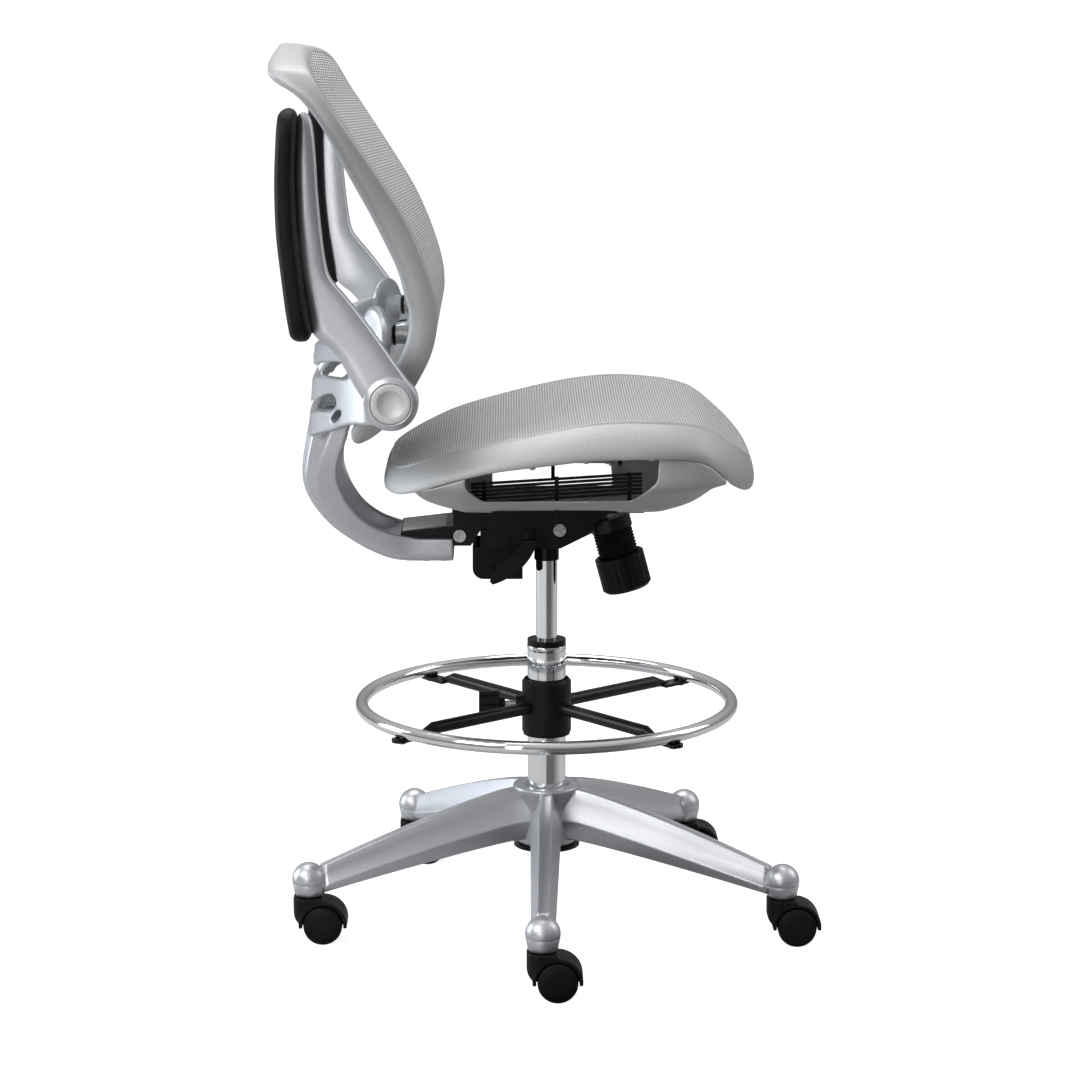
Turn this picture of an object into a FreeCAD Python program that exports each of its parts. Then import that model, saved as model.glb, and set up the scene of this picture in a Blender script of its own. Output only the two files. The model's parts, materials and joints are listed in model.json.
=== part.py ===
import FreeCAD, Part
import math
import os

# A drafting chair: five-armed base on twin-wheel casters, gas column with a sliding foot ring,
# tilt mechanism, mesh seat on a hull-shaped cradle, mesh backrest on a cast yoke, flip-up arms.
# Millimetres. +Z is up, +X is the front of the chair, +Y is the sitter's left.
# The origin is on the floor, under the centre of the column.

V = FreeCAD.Vector

# ---- fits -------------------------------------------------------------------------------
fit = 0.05               # radial clearance of a shaft in its hole
seat_gap = 0.3           # gap left where a moving face rests on another

# ---- base -------------------------------------------------------------------------------
arm_count = 5
base_turn = -1.5         # degrees the base stands turned about the column
caster_circle_r = 319.5
ball_r = 21.7
ball_z = 82.0
ball_seam_z = 78.0
ball_bottom_z = 62.0
ball_bottom_r = 18.5
hub_bottom_z = 105.0
hub_top_z = 183.0
hub_top_r = 44.0
hub_waist_r = 32.0
hub_waist_z = 150.0
hub_foot_r = 38.0
hub_edge = 2.0
base_plate_r = 43.0
base_plate_t = 4.0
base_plate_bore_r = 17.0
arm_crest_half = 7.0
arm_root_half = 20.5
arm_tip_half = 15.5
arm_root_top_z = 179.0
arm_tip_top_z = 106.0
arm_root_bottom_z = 114.0
arm_tip_bottom_z = 69.0
arm_shoulder = 0.62      # part of the depth from the crest down to the shoulder line
arm_foot_share = 0.86    # width of the underside as a part of the shoulder's

# ---- casters ----------------------------------------------------------------------------
wheel_r = 25.0
wheel_width = 19.0
wheel_edge_r = 3.0
wheel_face_t = 3.5       # thickness of the wheel's face over the end of the axle
wheel_trail = 18.0       # horizontal distance from the stem to the wheel axle
caster_web = 9.0         # thickness of the hood between the two wheels
wheel_side_gap = 0.5
hood_r = 31.0
hood_half_width = 22.0
hood_top_z = 60.0
hood_nose = 20.0         # reach of the hood in front of the stem
hood_nose_r = 16.0
wheel_room = 1.2
hood_skirt = 3.6         # how far the hood reaches below the axle
caster_web_r = 18.0
caster_axle_r = 3.0
stem_r = 5.5
stem_bottom_z = 45.5
stem_top_z = 78.0
stem_collar_r = 9.0

# ---- column -----------------------------------------------------------------------------
column_r = 25.0
column_wall = 2.0
column_top_z = 363.0
column_floor_t = 4.0
bush_ring_h = 14.0
bush_depth = 58.0
cylinder_r = 14.0
cylinder_wall = 1.5
cylinder_bottom_z = 220.0
cylinder_top_z = 520.0
rod_r = 5.0
rod_bottom_z = 96.0
rod_top_z = 350.0
piston_h = 14.0
bearing_r = 15.0
bearing_h = 8.0
clip_r = 11.0
clip_t = 2.0
release_pin_r = 3.0
release_pin_top_z = 529.0
release_pin_depth = 24.0
release_pin_room = 6.0   # travel left under the pin

# ---- foot ring --------------------------------------------------------------------------
ring_r = 240.0
ring_tube_r = 8.5
ring_tube_wall = 1.5
ring_z = 293.0
ring_hub_r = 32.0
ring_hub_bottom_z = 255.0
ring_hub_top_z = 325.0
ring_hub_chamfer = 4.0
collet_wall = 3.0
collet_flange_r = 30.5
collet_flange_t = 4.0
collet_slot = 3.0
spoke_r = 8.0
spoke_z = 289.0
spoke_count = 4
spoke_first_angle = 40.3
spoke_round_end = 190.0
tab_root = 204.0         # where the flattened tab begins inside the tube's neck
tab_start = 218.0
tab_end = 254.0
tab_half_width = 10.0
tab_t = 4.4
ring_screw_r = 2.5
ring_screw_head_r = 5.0
ring_screw_head_h = 3.0
clamp_z = 290.0
clamp_boss_r = 11.0
clamp_boss_end = 40.0
clamp_stud_r = 4.0
clamp_neck_r = 9.0
clamp_neck_start = 54.0
clamp_knob_start = 61.0
clamp_knob_end = 88.0
clamp_knob_r = 17.5
clamp_lobes = 6
clamp_lobe_r = 5.0
clamp_lobe_centre_r = 19.5
clamp_bore_depth = 15.0

# ---- mechanism --------------------------------------------------------------------------
plate_rear_x = -120.0
plate_front_x = 122.0
plate_top_z = 560.0
plate_t = 4.0
plate_half_width = 78.0
cheek_inner_y = 57.0
cheek_t = 3.0
cheek_lobe = 14.0        # metal of the cheek round each hinge pin, from the pin's middle
cheek_front = 68.0       # from the tilt pin to the cheek's front end
tilt_x = 16.0
tilt_z = 531.0
recline_x = -111.0
recline_z = 524.0
hinge_pin_r = 5.0
hinge_head_r = 8.0
hinge_head_h = 3.0
housing_half_width = 50.0
housing_wall = 5.0
housing_floor_t = 4.2
housing_bottom_z = 505.0
housing_belly_z = 530.0  # where the belly's slope meets the front wall
housing_bridge_rear = 9.0    # solid metal left behind the tilt pin
housing_bridge_front = 10.0
ear_arm_half = 22.0
ear_arm_z = (526.0, 540.0)
housing_rear_x = -85.0
housing_front_x = 60.0
housing_rear_top_z = 528.0
housing_front_top_z = 550.0
socket_r = 18.0
collar_r = 16.0
collar_bottom_z = 482.0
bracket_half_width = 49.0
bracket_eye_r = 11.0
bracket_rear_x = -186.0
strip_half_width = 44.0
strip_t = 5.0
lock_rear_x = -95.0
lock_front_x = -31.0
lock_bottom_z = 464.0
lock_half_width = 42.0
lock_corner_r = 14.0
lock_wall = 4.0
lock_boss_x = -72.0
lock_boss_z = 476.0
lock_boss_r = 6.0
lock_boss_h = 3.0
lever_x = -24.0
lever_z = 517.0
lever_r = 4.5
lever_inner_y = 48.0
lever_outer_y = -104.0
finger_low_y = -8.0
finger_high_y = 20.0
finger_tip_x = 4.0
finger_gap = 1.2
finger_t = 5.5
bar_low_y = -20.0
bar_t = 8.0
bar_eye_wall = 2.5
bar_rear_x = -76.0
bar_half_height = 6.5
paddle_inner_y = -95.0
paddle_t = 11.0
paddle_reach = 45.0      # how far the leaf's tip stands behind the rod
paddle_drop = 47.0
paddle_root = 11.0
paddle_tip = 3.5
paddle_bore_depth = 7.0
tension_x = 84.0
tension_z = 522.0
tension_lean = 15.0      # degrees the knob's foot leans to the front
tension_ear_r = 27.0
tension_ear_t = 16.0
sleeve_len = 34.0
sleeve_r = 26.0
sleeve_ridges = 8
sleeve_ridge_depth = 2.0
sleeve_wall = 2.0
tension_bolt_r = 5.0
tension_knob_r = 32.0
tension_knob_len = 47.0
tension_knob_wall = 5.0
tension_knob_depth = 21.0    # of the hollow that the spring stands in
tension_flutes = 24
tension_flute_r = 2.0
spring_wire_r = 2.0
spring_r = 13.0
spring_turns = 5

# ---- seat -------------------------------------------------------------------------------
seat_rear_x = -197.0
seat_front_x = 253.0
seat_half_width = 235.0
seat_rear_corner_r = 105.0
seat_front_corner_r = 62.0
seat_rim_width = 27.0
seat_ledge_side = 8.0    # width of the rim's top beside the mesh
seat_ledge_rear = 8.0
seat_ledge_front = 6.0
seat_rebate_depth = 9.0  # how far below the seam the ledge under the mesh lies
seat_rim_drop = 4.0      # how far the rim's outer edge lies below the seam
seat_mesh_t = 2.5
seat_mesh_gap = 0.2
seat_top_line = [(-197, 652), (-177, 645), (-117, 658), (-8, 683),
                 (80, 694), (160, 692), (215, 675), (253, 651)]
seat_bottom_line = [(-197, 624), (-171, 611), (-93, 626), (40, 644), (150, 650), (215, 634), (253, 616)]
seat_screw_xs = [-105.0, -20.0, 45.0, 125.0]
screw_r = 2.5
screw_head_r = 4.0
screw_head_h = 1.6
screw_len = 14.0
seat_screw_gap = 0.5     # between a screw's head and the cradle
screw_spot = 0.8         # depth of a screw head's top face below the middle of its seat
cradle_side_in = 9.0     # how far the hull's sides stand in from the rim's
cradle_bilge_in = 54.0   # from the hull's side in to its bilge
cradle_floor_in = 131.0  # from the hull's side in to its flat floor
cradle_side_z = 611.0    # where the hull's sides turn in towards the bilge
cradle_bilge_z = 576.0
# x, how much higher the floor and the bilge lie there, and how much further in all the sides stand
cradle_stations = [(-174.0, 36.0, 27.0, 32.0), (-152.0, 17.0, 12.0, 11.0), (-113.0, 3.0, 2.0, 0.0),
                   (-84.0, 0.0, 0.0, 0.0), (122.0, 0.0, 0.0, 0.0), (150.0, 3.0, 3.0, 2.0),
                   (178.0, 13.0, 12.0, 8.0), (202.0, 30.0, 26.0, 18.0), (218.0, 47.0, 34.0, 30.0)]
cradle_wall = 4.0
window_rear_x = -100.0
window_front_x = 132.0
window_bottom_z = 592.0
window_slant = 28.0      # size of the cut-off lower corners
floor_hole_y = 82.0      # inner edge of each opening in the cradle's floor
floor_hole_rear_x = -70.0
floor_hole_front_x = 88.0
floor_hole_r = 14.0
louvre_y = 164.0
louvre_rear_x = -95.0
louvre_front_x = 116.0
louvre_slats = 6
louvre_first_z = 582.5
louvre_pitch = 4.7
louvre_slat_t = 2.2
louvre_slat_depth = 9.0
louvre_posts = 3
louvre_post_w = 5.0
louvre_post_in = 16.0    # from the slats' ends to the outer posts
louvre_lift = 3.5        # degrees the slats rise towards the front

# ---- back support (yoke) ----------------------------------------------------------------
foot_front_x = -119.0
foot_top_z = 519.0
foot_bottom_z = 489.0
foot_half_width = 56.0
spine_half_width = 88.0
spine_flare = 8.0        # how much wider the channel is at its knee than at its foot
spine_wall = 6.0
spine_outer = [(-167, 489), (-205, 494), (-268, 527), (-306, 576), (-310, 608), (-292, 655)]
spine_inner = [(-190, 522), (-236, 552), (-260, 586), (-263, 625), (-250, 662)]
tower_rear_x = -303.0
tower_front_x = -240.0
tower_bottom_z = 650.0
tower_top_z = 764.0
tower_lean = 6.0
tower_top_in = 24.0      # how far the top's front edge stands behind the wings'
tower_wall = 7.0
tower_corner_r = 24.0
slot_heights = [(676.0, 697.0), (717.0, 736.0)]
slot_fronts = [-262.0, -250.0]
wing_rear_x = -262.0
wing_front_x = -230.0
wing_bottom_z = 684.0
wing_top_z = 736.0
wing_inner_y = 243.0
wing_t = 29.0
wing_turn = 24.0         # size of the bend from the wing's bar into its boss
arm_pivot_x = -188.0
arm_pivot_z = 728.0
wing_eye_r = 30.0
prong_y = 160.0
prong_z = 793.0
prong_pad_r = 36.0
prong_pad_t = 20.0
prong_root_h = 36.0
prong_root_in = 22.0     # how far the strut's root stands before the tower's rear face
prong_tip_half = 22.0
prong_face_x = -189.0
spacer_r = 11.0
spacer_len = 18.0
washer_t = 3.0
washer_r = 12.5
foot_screw_xs = [-132.0, -154.0]
foot_screw_y = 30.0
foot_screw_head_r = 6.0
foot_screw_head_h = 2.5

# ---- backrest ---------------------------------------------------------------------------
back_front_line = [(-301, 1134), (-247, 1069), (-191, 964), (-148, 874),
                   (-134, 815), (-159, 741), (-223, 661)]
back_rear_line = [(-353, 1140), (-346, 1120), (-326, 1098), (-277, 1060), (-210, 937),
                  (-172, 850), (-177, 780), (-240, 681)]
back_top_half = 262.0
back_mid_half = 238.0
back_mid_z = 930.0
back_low_half = 228.0
back_top_corner_r = 58.0
back_low_corner_r = 90.0
back_top_z = 1140.0
back_bottom_z = 655.0
back_top_crown = 20.0    # how much higher the middle of the top rail stands than its corners
back_rim_width = 30.0
back_ledge = 27.0        # width of the rim's front face beside the mesh
back_top_ledge = 11.0    # and above it
back_rebate_depth = 8.0  # how far behind the seam the ledge behind the mesh lies
back_mesh_t = 2.5
lug_half_height = 20.0
lug_t = 10.0
lug_inner_reach = 24.0

# ---- arms -------------------------------------------------------------------------------
beam_inner_y = 272.3
beam_t = 24.0
beam_front_line = [(-277, 1052), (-275, 1003), (-266, 921), (-243, 855), (-200, 796), (-168, 752)]
beam_rear_line = [(-224, 728), (-241, 765), (-262, 798), (-283, 808)]
beam_eye_r = 32.0
pad_centre_y = 305.0
pad_width = 76.0
pad_face_line = [(-294, 1070), (-291, 1015), (-288, 921), (-283, 805)]
pad_back_line = [(-301, 804), (-308, 845), (-316, 950), (-317, 1005), (-312, 1062)]
pad_corner_r = 30.0
pad_gap = 0.3
pin_r = 8.0
pin_wall = 4.0           # metal left over each end of an arm's pin
cap_r = 24.0
cap_t = 5.0
cap_dish_r = 15.0
cap_dish_depth = 2.5


# ---- drawing helpers --------------------------------------------------------------------
def rod(radius, start, end):
    """A round bar from one point to another."""
    run = end - start
    return Part.makeCylinder(radius, run.Length, start, run)


def tube(outer_r, inner_r, start, end):
    """A round bar with a bore along its whole length."""
    run = (end - start).normalize()
    return rod(outer_r, start, end).cut(rod(inner_r, start - run, end + run))


def block(x0, x1, y0, y1, z0, z1):
    """A box between two values on each axis."""
    return Part.makeBox(x1 - x0, y1 - y0, z1 - z0, V(x0, y0, z0))


def closed_wire(runs):
    """A closed wire of runs: two points make a straight edge, more make a smooth curve."""
    edges = []
    for points in runs:
        if len(points) == 2:
            edges.append(Part.LineSegment(points[0], points[1]).toShape())
        else:
            curve = Part.BSplineCurve()
            curve.interpolate(points)
            edges.append(curve.toShape())
    return Part.Wire(edges)


def side_points(pairs):
    """(x, z) pairs as points on the chair's middle plane."""
    return [V(x, 0, z) for x, z in pairs]


def side_slab(runs, y0, y1):
    """A slab with a side outline, given as runs of (x, z) pairs, between two values of y."""
    face = Part.Face(closed_wire([side_points(run) for run in runs]))
    face.translate(V(0, y0, 0))
    return face.extrude(V(0, y1 - y0, 0))


def band(first, second, y0, y1):
    """A side slab between two curves that run the same way."""
    joints = [[first[-1], second[-1]], [second[0], first[0]]]
    return side_slab([first, joints[0], second[::-1], joints[1]], y0, y1)


def straight_runs(points):
    """The sides of a closed polygon, as runs of two points."""
    return [[points[i], points[(i + 1) % len(points)]] for i in range(len(points))]


def side_polygon(points, y0, y1):
    """A side slab with straight sides."""
    return side_slab(straight_runs(points), y0, y1)


def revolved(profile, centre=None, axis=None):
    """A solid turned from (r, z) pairs about +Z, then laid along an axis from a centre."""
    points = [V(r, 0, z) for r, z in profile]
    face = Part.Face(Part.makePolygon(points + points[:1]))
    solid = face.revolve(V(0, 0, 0), V(0, 0, 1), 360)
    if axis is not None:
        solid.Placement = FreeCAD.Placement(V(0, 0, 0), FreeCAD.Rotation(V(0, 0, 1), axis))
    if centre is not None:
        solid.translate(centre)
    return solid


def mirrored(shape):
    """The same piece on the other side of the chair."""
    return shape.mirror(V(0, 0, 0), V(0, 1, 0))


def upright_edges(solid):
    return [e for e in solid.Edges if abs(e.Vertexes[0].Z - e.Vertexes[-1].Z) > 1]


def rounded_plan(x0, x1, half, rear_r, front_r, z0, z1):
    """An upright block with rounded corners, tighter or wider at the rear and the front."""
    solid = block(x0, x1, -half, half, z0, z1)
    for x, radius in ((x0, rear_r), (x1, front_r)):
        edges = [e for e in upright_edges(solid) if abs(e.CenterOfMass.x - x) < 0.01]
        solid = solid.makeFillet(radius, edges)
    return solid


def spun(shape, degrees, x=0.0, y=0.0):
    """A copy turned about an upright line."""
    copy = shape.copy()
    copy.rotate(V(x, y, 0), V(0, 0, 1), degrees)
    return copy


def joined(first, *others):
    """One solid of pieces that are cast, welded or moulded together."""
    return first.fuse(list(others)).removeSplitter()


def save(name, *solids):
    """Write one named piece, or a group of like pieces, as a STEP file."""
    shape = solids[0] if len(solids) == 1 else Part.makeCompound(list(solids))
    shape.exportStep("parts/" + name + ".step")
    print(name, len(shape.Solids), shape.isValid(), round(shape.Volume / 1000.0, 1))


os.makedirs("parts", exist_ok=True)
origin = V(0, 0, 0)
up = V(0, 0, 1)
tall = 2000.0            # longer than the chair, for cutting tools


# ---- base -------------------------------------------------------------------------------
arm_start_r = hub_waist_r * 0.6
arm_root_r = hub_top_r
arm_end_r = caster_circle_r - ball_r * 0.5


def arm_section(r):
    """One six-sided section of a base arm, lying across +X at distance r."""
    part = (r - arm_root_r) / (arm_end_r - arm_root_r)
    top = arm_root_top_z + (arm_tip_top_z - arm_root_top_z) * part
    bottom = arm_root_bottom_z + (arm_tip_bottom_z - arm_root_bottom_z) * part
    half = arm_root_half + (arm_tip_half - arm_root_half) * part
    shoulder = top + (bottom - top) * arm_shoulder
    foot = half * arm_foot_share
    corners = [(-arm_crest_half, top), (arm_crest_half, top), (half, shoulder), (foot, bottom),
               (-foot, bottom), (-half, shoulder)]
    return Part.makePolygon([V(r, y, z) for y, z in corners + corners[:1]])


def base_arm():
    return Part.makeLoft([arm_section(arm_start_r), arm_section(arm_end_r)], True, True)


def base_ball():
    ball = Part.makeSphere(ball_r, V(caster_circle_r, 0, ball_z))
    reach = ball_r * 2
    upper = ball.cut(block(caster_circle_r - reach, caster_circle_r + reach, -reach, reach, 0, ball_seam_z))
    seam_r = math.sqrt(ball_r ** 2 - (ball_z - ball_seam_z) ** 2)
    band_h = ball_seam_z - ball_bottom_z
    lower = Part.makeCone(ball_bottom_r, seam_r, band_h, V(caster_circle_r, 0, ball_bottom_z))
    return upper.fuse(lower)


def star_base():
    bore = column_r + fit
    edge = hub_edge
    hub = revolved([(bore, hub_bottom_z), (hub_foot_r, hub_bottom_z),
                    (hub_waist_r + edge, hub_waist_z - edge * 6),
                    (hub_waist_r, hub_waist_z), (hub_top_r - edge / 2, hub_top_z - edge * 3),
                    (hub_top_r, hub_top_z - edge), (hub_top_r - edge, hub_top_z), (bore, hub_top_z)])
    arm = base_arm().fuse(base_ball())
    arm = arm.cut(rod(stem_r + fit, V(caster_circle_r, 0, 0), V(caster_circle_r, 0, stem_top_z + fit)))
    casting = hub
    for angle in arm_angles:
        casting = casting.fuse(spun(arm, angle))
    casting = casting.cut(rod(bore, origin, V(0, 0, tall)))
    room = rod(base_plate_r + fit, V(0, 0, hub_bottom_z - base_plate_t), V(0, 0, hub_bottom_z))
    return casting.cut(room)


arm_angles = [base_turn - 90 + 360.0 / arm_count * k for k in range(arm_count)]
stem_points = [(caster_circle_r * math.cos(math.radians(a)), caster_circle_r * math.sin(math.radians(a)))
               for a in arm_angles]
save("star_base", star_base())
base_plate = tube(base_plate_r, base_plate_bore_r, V(0, 0, hub_bottom_z - base_plate_t),
                  V(0, 0, hub_bottom_z))
save("base_plate", base_plate)


# ---- casters ----------------------------------------------------------------------------
wheel_inner_y = caster_web / 2 + wheel_side_gap


def caster_stem(x, y):
    """The steel stem, fixed in the ball of the base, with a collar against the ball."""
    bar = rod(stem_r, V(x, y, stem_bottom_z), V(x, y, stem_top_z))
    collar = rod(stem_collar_r, V(x, y, hood_top_z + seat_gap), V(x, y, ball_bottom_z))
    return bar.fuse(collar)


def caster_hood():
    """The hood of a caster whose stem stands on the origin and whose wheel trails to +X."""
    axle = (wheel_trail, wheel_r)
    shell = rod(hood_r, V(axle[0], -hood_half_width, axle[1]), V(axle[0], hood_half_width, axle[1]))
    nose = block(-hood_nose, axle[0], -hood_half_width, hood_half_width, axle[1], hood_top_z)
    corners = [e for e in nose.Edges if e.CenterOfMass.x < -hood_nose + 0.01
               and abs(e.CenterOfMass.z - hood_top_z) > 1]
    nose = nose.makeFillet(hood_nose_r, corners)
    solid = shell.fuse(nose)
    reach = hood_r * 2
    solid = solid.cut(block(-reach, reach * 2, -reach, reach, hood_top_z, hood_top_z * 2))
    skirt_z = wheel_r - hood_skirt
    solid = solid.cut(block(-reach, reach * 2, -reach, reach, -reach, skirt_z))
    web = rod(caster_web_r, V(axle[0], -caster_web / 2, axle[1]), V(axle[0], caster_web / 2, axle[1]))
    for side in (-1, 1):
        room = rod(wheel_r + wheel_room, V(axle[0], side * caster_web / 2, axle[1]),
                   V(axle[0], side * reach, axle[1]))
        solid = solid.cut(room)
    solid = solid.fuse(web)
    solid = solid.cut(rod(caster_axle_r + fit, V(axle[0], -reach, axle[1]), V(axle[0], reach, axle[1])))
    return solid.cut(rod(stem_r + fit, V(0, 0, stem_bottom_z - seat_gap), V(0, 0, tall)))


def caster_wheels():
    """Two wheels pressed on one axle, for a caster whose stem stands on the origin."""
    r, edge, width = wheel_r, wheel_edge_r, wheel_width
    rounded = [(r - edge * (1 - math.cos(math.radians(a))), width - edge * (1 - math.sin(math.radians(a))))
               for a in range(0, 91, 15)]
    depth = width - wheel_face_t
    half_axle = wheel_inner_y + depth - seat_gap
    bore = [(caster_axle_r + fit, depth), (caster_axle_r + fit, 0)]
    profile = [(r - 1, 0), (r, 1)] + rounded + [(0, width), (0, depth)] + bore
    solids = []
    for side in (-1, 1):
        centre = V(wheel_trail, side * wheel_inner_y, wheel_r)
        solids.append(revolved(profile, centre, V(0, side, 0)))
    axle = rod(caster_axle_r, V(wheel_trail, -half_axle, wheel_r), V(wheel_trail, half_axle, wheel_r))
    return solids + [axle]


hood = caster_hood()
wheels = caster_wheels()
save("caster_stems", *[caster_stem(x, y) for x, y in stem_points])
for number, (x, y) in enumerate(stem_points, 1):
    place = V(x, y, 0)
    save("caster_hood_%d" % number, hood.translated(place))
    save("caster_wheels_%d" % number, *[piece.translated(place) for piece in wheels])


# ---- column -----------------------------------------------------------------------------
tube_bore = column_r - column_wall
floor_top_z = hub_bottom_z + column_floor_t
clip_top_z = hub_bottom_z - seat_gap
cylinder_bore = cylinder_r - cylinder_wall
piston_z = rod_top_z - piston_h


def column_tube():
    shell = rod(column_r, V(0, 0, hub_bottom_z), V(0, 0, column_top_z))
    shell = shell.cut(rod(tube_bore, V(0, 0, floor_top_z), V(0, 0, tall)))
    return shell.cut(rod(rod_r + fit, origin, V(0, 0, floor_top_z + 1)))


def guide_bush():
    ring = rod(column_r, V(0, 0, column_top_z), V(0, 0, column_top_z + bush_ring_h))
    sleeve = rod(tube_bore - fit, V(0, 0, column_top_z - bush_depth), V(0, 0, column_top_z))
    return ring.fuse(sleeve).cut(rod(cylinder_r + fit, origin, V(0, 0, tall)))


def piston_rod():
    bar = rod(rod_r, V(0, 0, rod_bottom_z), V(0, 0, rod_top_z))
    groove = tube(rod_r + 1, rod_r - 1, V(0, 0, clip_top_z - clip_t), V(0, 0, clip_top_z))
    piston = rod(cylinder_bore - fit, V(0, 0, piston_z), V(0, 0, rod_top_z))
    return bar.cut(groove).fuse(piston)


def gas_cylinder():
    body = rod(cylinder_r, V(0, 0, cylinder_bottom_z), V(0, 0, cylinder_top_z))
    seal_top = cylinder_bottom_z + piston_h
    cap_bottom = release_pin_top_z - release_pin_depth - piston_h
    body = body.cut(rod(cylinder_bore, V(0, 0, seal_top), V(0, 0, cap_bottom)))
    body = body.cut(rod(rod_r + fit, origin, V(0, 0, seal_top + 1)))
    pin_room = V(0, 0, release_pin_top_z - release_pin_depth - release_pin_room)
    return body.cut(rod(release_pin_r + fit, pin_room, V(0, 0, tall)))


save("column_tube", column_tube())
save("column_guide_bush", guide_bush())
save("thrust_bearing", tube(bearing_r, rod_r + 1, V(0, 0, floor_top_z), V(0, 0, floor_top_z + bearing_h)))
save("retaining_clip", tube(clip_r, rod_r - 1 + fit, V(0, 0, clip_top_z - clip_t), V(0, 0, clip_top_z)))
save("piston_rod", piston_rod())
save("gas_cylinder", gas_cylinder())
save("release_pin", rod(release_pin_r, V(0, 0, release_pin_top_z - release_pin_depth),
                        V(0, 0, release_pin_top_z)))


# ---- foot ring --------------------------------------------------------------------------
collet_r = column_r + fit + collet_wall
spoke_angles = [spoke_first_angle + 360.0 / spoke_count * k for k in range(spoke_count)]
tab_top_z = ring_z - ring_tube_r
tab_middle_r = ring_r
stud_end = collet_r + seat_gap


def ring_collet():
    """The split plastic bush that the clamp squeezes on the column."""
    flange_z = ring_hub_bottom_z - seat_gap - collet_flange_t
    sleeve = rod(collet_r, V(0, 0, flange_z), V(0, 0, ring_hub_top_z - ring_hub_chamfer))
    sleeve = sleeve.fuse(rod(collet_flange_r, V(0, 0, flange_z), V(0, 0, flange_z + collet_flange_t)))
    sleeve = sleeve.cut(rod(column_r + fit, origin, V(0, 0, tall)))
    return sleeve.cut(block(0, column_r * 2, -collet_slot / 2, collet_slot / 2, 0, tall))


def ring_hub():
    chamfer = ring_hub_chamfer
    bore = collet_r + fit
    hub = revolved([(bore, ring_hub_bottom_z), (ring_hub_r, ring_hub_bottom_z),
                    (ring_hub_r, ring_hub_top_z - chamfer), (ring_hub_r - chamfer * 0.8, ring_hub_top_z),
                    (bore, ring_hub_top_z)])
    boss = rod(clamp_boss_r, V(-clamp_boss_end, 0, clamp_z), V(-bore - 1, 0, clamp_z))
    hub = hub.fuse(boss).cut(rod(bore, origin, V(0, 0, tall)))
    return hub.cut(rod(clamp_stud_r + fit, V(-clamp_boss_end - 1, 0, clamp_z), V(0, 0, clamp_z)))


def ring_spoke():
    """A round tube whose outer end is pressed flat into a tab under the ring."""
    bar = rod(spoke_r, V(0, 0, spoke_z), V(spoke_round_end, 0, spoke_z))
    round_end = Part.Wire([Part.Circle(V(spoke_round_end, 0, spoke_z), V(1, 0, 0), spoke_r).toShape()])
    tab_z = tab_top_z - tab_t / 2
    flat = Part.Wire([Part.Circle(V(tab_start, 0, tab_z), V(1, 0, 0), tab_t / 2).toShape()])
    neck = Part.makeLoft([round_end, flat], True, True)
    tab = block(tab_root, tab_end - tab_half_width, -tab_half_width, tab_half_width,
                tab_top_z - tab_t, tab_top_z)
    tip = rod(tab_half_width, V(tab_end - tab_half_width, 0, tab_top_z - tab_t),
              V(tab_end - tab_half_width, 0, tab_top_z))
    spoke = bar.fuse([neck, tab, tip])
    spoke = spoke.cut(rod(ring_hub_r, origin, V(0, 0, tall)))
    hole = rod(ring_screw_r + fit, V(tab_middle_r, 0, 0), V(tab_middle_r, 0, tab_top_z + 1))
    return spoke.cut(hole)


def foot_ring():
    torus = Part.makeTorus(ring_r, ring_tube_r, V(0, 0, ring_z))
    torus = torus.cut(Part.makeTorus(ring_r, ring_tube_r - ring_tube_wall, V(0, 0, ring_z)))
    for angle in spoke_angles:
        hole = rod(ring_screw_r + fit, V(tab_middle_r, 0, 0), V(tab_middle_r, 0, ring_z))
        torus = torus.cut(spun(hole, angle))
    return torus


def ring_screw():
    head_top = tab_top_z - tab_t
    head_low = V(tab_middle_r, 0, head_top - ring_screw_head_h)
    head = rod(ring_screw_head_r, head_low, V(tab_middle_r, 0, head_top))
    return head.fuse(rod(ring_screw_r, V(tab_middle_r, 0, head_top - 1), V(tab_middle_r, 0, ring_z - 2)))


def clamp_knob():
    axis = V(-1, 0, 0)
    length = clamp_knob_end - clamp_knob_start
    knob = rod(clamp_knob_r, V(-clamp_knob_start, 0, clamp_z), V(-clamp_knob_end, 0, clamp_z))
    neck = rod(clamp_neck_r, V(-clamp_neck_start, 0, clamp_z), V(-clamp_knob_start, 0, clamp_z))
    knob = knob.fuse(neck)
    for k in range(clamp_lobes):
        angle = math.radians(360.0 / clamp_lobes * k)
        y = clamp_lobe_centre_r * math.cos(angle)
        z = clamp_z + clamp_lobe_centre_r * math.sin(angle)
        knob = knob.cut(Part.makeCylinder(clamp_lobe_r, length, V(-clamp_knob_start, y, z), axis))
    bore_end = V(-clamp_knob_start - clamp_bore_depth, 0, clamp_z)
    return knob.cut(rod(clamp_stud_r + fit, V(0, 0, clamp_z), bore_end))


save("footring_collet", ring_collet())
save("footring_hub", ring_hub())
spoke = ring_spoke()
save("footring_spokes", *[spun(spoke, angle) for angle in spoke_angles])
save("footring_ring", foot_ring())
save("footring_screws", *[spun(ring_screw(), angle) for angle in spoke_angles])
save("clamp_stud", rod(clamp_stud_r, V(-stud_end, 0, clamp_z),
                       V(-clamp_knob_start - clamp_bore_depth + 1, 0, clamp_z)))
save("clamp_knob", clamp_knob())


# ---- mechanism --------------------------------------------------------------------------
plate_bottom_z = plate_top_z - plate_t
pin_bore = hinge_pin_r + fit
cheek_outer_y = cheek_inner_y + cheek_t
finger_bottom_z = release_pin_top_z + finger_gap
strip_front_x = recline_x - 14
strip_front_z = recline_z + 10
strip_rear_z = recline_z + 3
lean = math.radians(tension_lean)
tension_dir = V(math.sin(lean), 0, -math.cos(lean))
tension_top = V(tension_x, 0, tension_z)


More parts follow.
